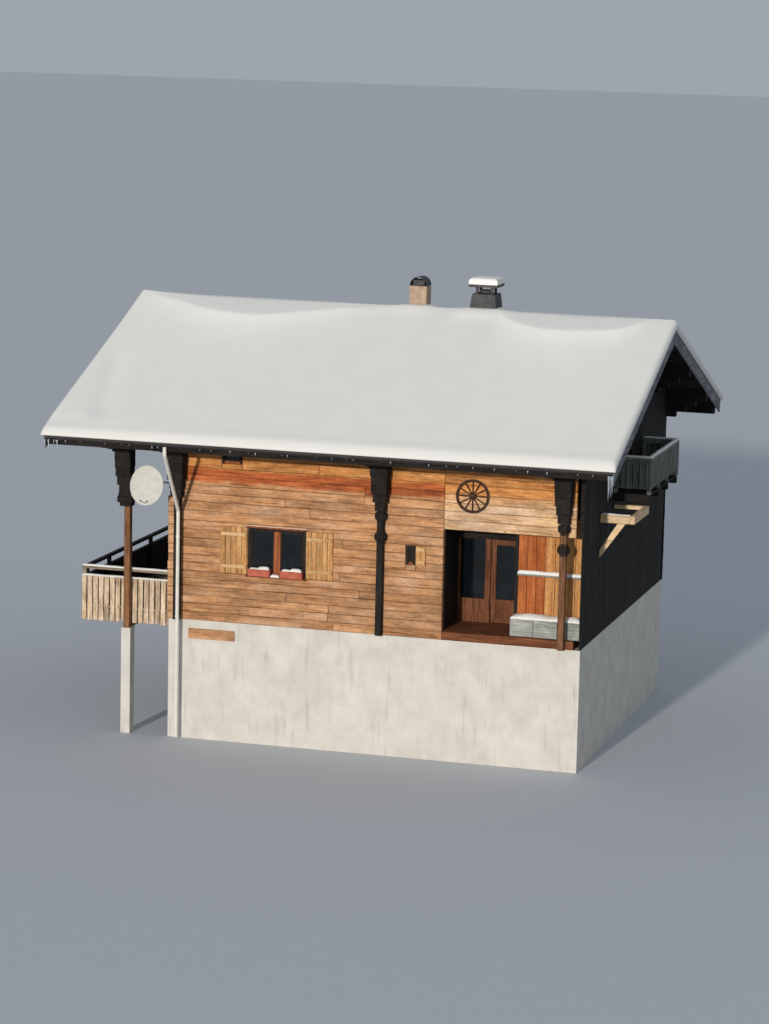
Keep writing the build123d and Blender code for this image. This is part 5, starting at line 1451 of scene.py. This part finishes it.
def slant(corners, low, high):
    """A box's corners laid along the brace, foot on the wall and head under the arm."""
    across = (corners[:, 0] - low[0]) / (high[0] - low[0])
    up = (corners[:, 2] - low[2]) / (high[2] - low[2])
    foot_z = BRACE_FOOT + up * BRACE
    head_x = BRACE_HEAD - up * BRACE
    corners[:, 0] = BALCONY_X0 + (head_x - BALCONY_X0) * across
    corners[:, 2] = foot_z + (ARM_LOW - foot_z) * across
    return corners


arms = timbers("bracket_arms", [
    (BALCONY_X0, BEAM_X0, BRACKET_Y0, BRACKET_Y0 + ARM, ARM_LOW, ARM_TOP),
    (BALCONY_X0, BEAM_X0, BRACKET_Y1 - ARM, BRACKET_Y1, ARM_TOP - 0.10, ARM_TOP),
], WOODS["new_x"], "new_timber", 0.008)
beam = timbers("bracket_beam", [
    (BEAM_X0, BRACKET_X1, BRACKET_Y0, BRACKET_Y1, ARM_LOW, ARM_TOP),
], WOODS["new_y"], "new_timber", 0.008)
brace = timbers("bracket_brace", [
    (BALCONY_X0, BRACE_HEAD, BRACKET_Y0, BRACKET_Y0 + ARM, BRACE_FOOT, ARM_LOW),
], WOODS["new_x"], "new_timber", 0.008, cut=slant)
for made in (arms, beam, brace):
    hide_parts("bracket_frame")

# %% Snow on the rails
x0, x1 = BALCONY_X0 + 0.02, BALCONY_X1
snow_pillows("rail_snow", [
    (GALLERY_X0, -0.02, GALLERY_Y0 - 0.004, GALLERY_Y0 + RAIL_BACK, HEAD, 0.04),
    (GALLERY_X0, -0.02, GALLERY_Y0 - 0.002, GALLERY_Y0 + RAIL_BACK, SLAT_TOP, 0.035),
    (GALLERY_X0, -0.02, GALLERY_Y1 - RAIL_BACK, GALLERY_Y1, HEAD, 0.04),
    (x0, x1, BALCONY_Y0, BALCONY_Y0 + RAIL_BACK, BALCONY_HEAD, 0.05),
    (x1 - RAIL_BACK, x1, BALCONY_Y0 + RAIL_BACK, BALCONY_Y1 - RAIL_BACK, BALCONY_HEAD, 0.04),
    (x0, x1, BALCONY_Y1 - RAIL_BACK, BALCONY_Y1, BALCONY_HEAD, 0.04),
    (x0, BEAM_X0, BRACKET_Y0 + 0.01, BRACKET_Y0 + ARM - 0.01, ARM_TOP, 0.03),
])

# %% [markdown]
# ## The wagon wheel
#
# An old wagon wheel hangs over the porch: a hub and twelve turned spokes, a rim of ash and
# a thin iron tyre. Rim and tyre are one section each, spun into a ring. The spokes go round
# the hub, which is again work for a tree, this time one that turns each copy.

# %% Wheel
WHEEL_X, WHEEL_Z = 7.67, 6.56
RIM_SIDES, SPOKES = 48, 12
wheel_centre = (WHEEL_X, 0, WHEEL_Z)
rim_section = ((0.352, 0.010), (0.357, 0.004), (0.401, 0.004), (0.401, 0.056), (0.357, 0.056),
               (0.352, 0.050))
tyre_section = ((0.401, 0.003), (0.410, 0.003), (0.410, 0.058), (0.401, 0.058))
hub_outline = ((0.052, 0.0), (0.075, 0.004), (0.082, 0.03), (0.075, 0.056), (0.056, 0.060),
               (0.056, 0.074), (0.030, 0.076))
spoke_outline = ((0.013, 0.06), (0.017, 0.10), (0.013, 0.14), (0.018, 0.24), (0.014, 0.36))
rim_parts = [turned(rim_section, wheel_centre, "y", RIM_SIDES, hollow=True),
             turned(hub_outline, wheel_centre, "y")]
rim = piece("wheel_rim_and_hub", *joined(rim_parts), WOODS["wheel"], "dark_timber")
tyre = piece("wheel_tyre", *turned(tyre_section, wheel_centre, "y", RIM_SIDES, hollow=True),
             IRON, "dark_metal")

# %% Spokes round the hub
ROUND, given, end = named_tree("copies_round_a_hub", (("Hub", "Vector"),))
sockets = {"Count": given["Count"], "Start Location": given["Hub"], "Offset": (0, 0, 0)}
middles = add(ROUND, "GeometryNodeMeshLine", sockets, mode="OFFSET").outputs[0]
number = add(ROUND, "GeometryNodeInputIndex").outputs[0]
part = maths(ROUND, "DIVIDE", math.tau, given["Count"])
angle = maths(ROUND, "MULTIPLY", number, part)
facing = add(ROUND, "ShaderNodeCombineXYZ", {"Y": angle}).outputs[0]
finished(ROUND, middles, facing, (1, 1, 1), given, end)

spoke = loose("spoke", *turned(spoke_outline, sides=8), smooth=True)
spokes = grown("wheel_spokes", ROUND, spoke, WOODS["wheel"], "dark_timber",
               Hub=Vector((WHEEL_X, -0.03, WHEEL_Z)) + Vector(CORNER), Count=SPOKES, Seed=4)
for made in (rim, tyre, spokes):
    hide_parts("wagon_wheel")

# %% [markdown]
# ## Gutter brackets, pipe sleeves and icicles
#
# Iron straps carry the gutters every arm's length; the downpipe is pushed together from
# lengths, each with a sleeve. Meltwater that ran over the gutter froze as it dripped: the
# icicles are short along the eave and long at the corner, where the roof drains.

# %% Gutter brackets
GUTTER_X0, GUTTER_X1, GUTTER_Z = -2.35, 11.3, 7.63
GUTTER_Y, GUTTER_BACK_Y = -1.962, 11.542
STRAP_IN, STRAP_OUT, STRAP_HALF, STRAP_STEPS = 0.0625, 0.068, 0.014, 12
arc = [math.pi * (1 + k / STRAP_STEPS) for k in range(STRAP_STEPS + 1)]
strap_points = [(side, r * math.cos(a), r * math.sin(a))
                for side in (-STRAP_HALF, STRAP_HALF) for r in (STRAP_IN, STRAP_OUT) for a in arc]
n = len(arc)
strap_faces = [(0, n, 3 * n, 2 * n), (n - 1, 3 * n - 1, 4 * n - 1, 2 * n - 1)]
for k in range(STRAP_STEPS):
    a, b, c, d = k, n + k, 2 * n + k, 3 * n + k
    strap_faces += [(a, a + 1, b + 1, b), (c, d, d + 1, c + 1), (a, c, c + 1, a + 1),
                    (b, b + 1, d + 1, d)]
strap = loose("strap", strap_points, strap_faces)
for name, y in (("front_gutter_straps", GUTTER_Y), ("back_gutter_straps", GUTTER_BACK_Y)):
    row(name, strap, IRON, "gutter", (GUTTER_X0, y, GUTTER_Z), (GUTTER_X1, y, GUTTER_Z), 20, 3)

# %% Pipe sleeves
PIPE_X, PIPE_Y = 0.30, -0.225
sleeve_outline = ((0.046, -0.04), (0.051, -0.036), (0.051, 0.036), (0.046, 0.04))
sleeve = loose("sleeve", *turned(sleeve_outline, sides=20))
row("pipe_sleeves", sleeve, PIPE, "downpipe", (PIPE_X, PIPE_Y, 1.10), (PIPE_X, PIPE_Y, 5.10), 3, 2)

# %% Icicles
EAVE_DRIP = 7.575
icicle_outline = ((0.0015, -1.0), (0.006, -0.86), (0.008, -0.66), (0.014, -0.45), (0.017, -0.30),
                  (0.024, -0.12), (0.030, 0.0))
icicle = loose("icicle", *turned(icicle_outline, sides=8), smooth=True)
ALONG_EAVE = {"thin": 0.25, "wander": (0.16, 0.008, 0)}
AT_CORNER = {"thin": 0.6, "wander": (0.035, 0.012, 0)}
for name, start, stop, count, seed, short, long, habit in (
    ("front_eave", (-2.3, -1.985), (11.1, -1.985), 34, 21, 0.02, 0.08, ALONG_EAVE),
    ("corner", (11.36, -1.985), (11.46, -1.93), 5, 22, 0.30, 0.66, AT_CORNER),
    ("left_corner", (-2.48, -1.96), (-2.20, -1.985), 4, 23, 0.1, 0.3, AT_CORNER),
    ("far_corner", (11.42, 11.35), (11.40, 11.55), 4, 24, 0.1, 0.34, AT_CORNER),
    ("back_eave", (-2.3, 11.565), (11.1, 11.565), 40, 25, 0.03, 0.14, ALONG_EAVE),
):
    row(name + "_icicles", icicle, ICE, "snow", (*start, EAVE_DRIP), (*stop, EAVE_DRIP), count,
        seed, short, long, **habit)

# %% [markdown]
# ## The chimneys
#
# The left stack is rendered brick under a bent sheet; its flue shows dark beneath. The
# right one stands in a flared collar of dark sheet and carries its slab on four short legs.

# %% Stacks
STACK_TOP, FLARE_TOP, LEG_TOP = 11.0, 10.88, 11.06
RIGHT_STACK = (6.325, 6.775, 4.94, 5.37)
LEG = 0.065
stack = timbers(
    "left_chimney_stack", [(*STACK, 0, STACK_TOP)], CHIMNEY, "chimney_stone", 0.012
)
x0, x1, y0, y1 = RIGHT_STACK
right_rows = [(*RIGHT_STACK, 0, FLARE_TOP)]
right_rows += [(x, x + LEG, y, y + LEG, FLARE_TOP, LEG_TOP)
               for x in (x0, x1 - LEG) for y in (y0, y1 - LEG)]
right_stack = timbers("right_chimney_stack", right_rows, SOOTY, "chimney_stone", 0.008)
for made in (stack, right_stack):
    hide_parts("chimney_stacks")
flues = [(4.66, 4.98, 4.99, 5.32, STACK_TOP, STACK_TOP + 0.16),
         (6.42, 6.68, 5.03, 5.28, FLARE_TOP, FLARE_TOP + 0.10)]
timbers("flue_heads", flues, DARK_METAL, "dark_metal", 0.02)

# %% [markdown]
# ## The stage and the light
#
# The floor is one pale sheet, far larger than the view. The light is a low soft sun from
# straight in front, as on a winter morning, so even the logs close under the eaves are
# lit. A pale blue sky all round fills the shade.

# %% The stage
FLOOR_DROP, FLOOR_REACH = 0.004, 400
floor_corners = [(x * FLOOR_REACH, y * FLOOR_REACH, -FLOOR_DROP)
                 for x, y in ((-1, -1), (1, -1), (1, 1), (-1, 1))]
floor = loose("studio_floor", floor_corners, [(0, 1, 2, 3)])
bpy.context.scene.collection.objects.link(floor)
FLOOR, tree, surface = new_material("pale_floor", roughness=0.95)
surface.inputs["Base Color"].default_value = paint(196, 200, 206)
floor.data.materials.append(FLOOR)
print("stage:", floor.name)

# %% The sun and the sky
SUN_AZIMUTH, SUN_HEIGHT = 5, 12
sun_data = bpy.data.lights.new("winter_sun", "SUN")
sun_data.energy, sun_data.angle = 2.5, math.radians(2)
sun_data.color = (1.0, 0.94, 0.86)
sun = bpy.data.objects.new("winter_sun", sun_data)
bpy.context.scene.collection.objects.link(sun)
sun.rotation_euler = (math.radians(90 - SUN_HEIGHT), 0, math.radians(-SUN_AZIMUTH))

sky = bpy.data.worlds.new("pale_sky")
sky.use_nodes = True
bpy.context.scene.world = sky
background = sky.node_tree.nodes["Background"]
background.inputs["Color"].default_value = (0.80, 0.89, 1.0, 1)
background.inputs["Strength"].default_value = 0.42
bpy.context.scene.view_settings.view_transform = "Standard"
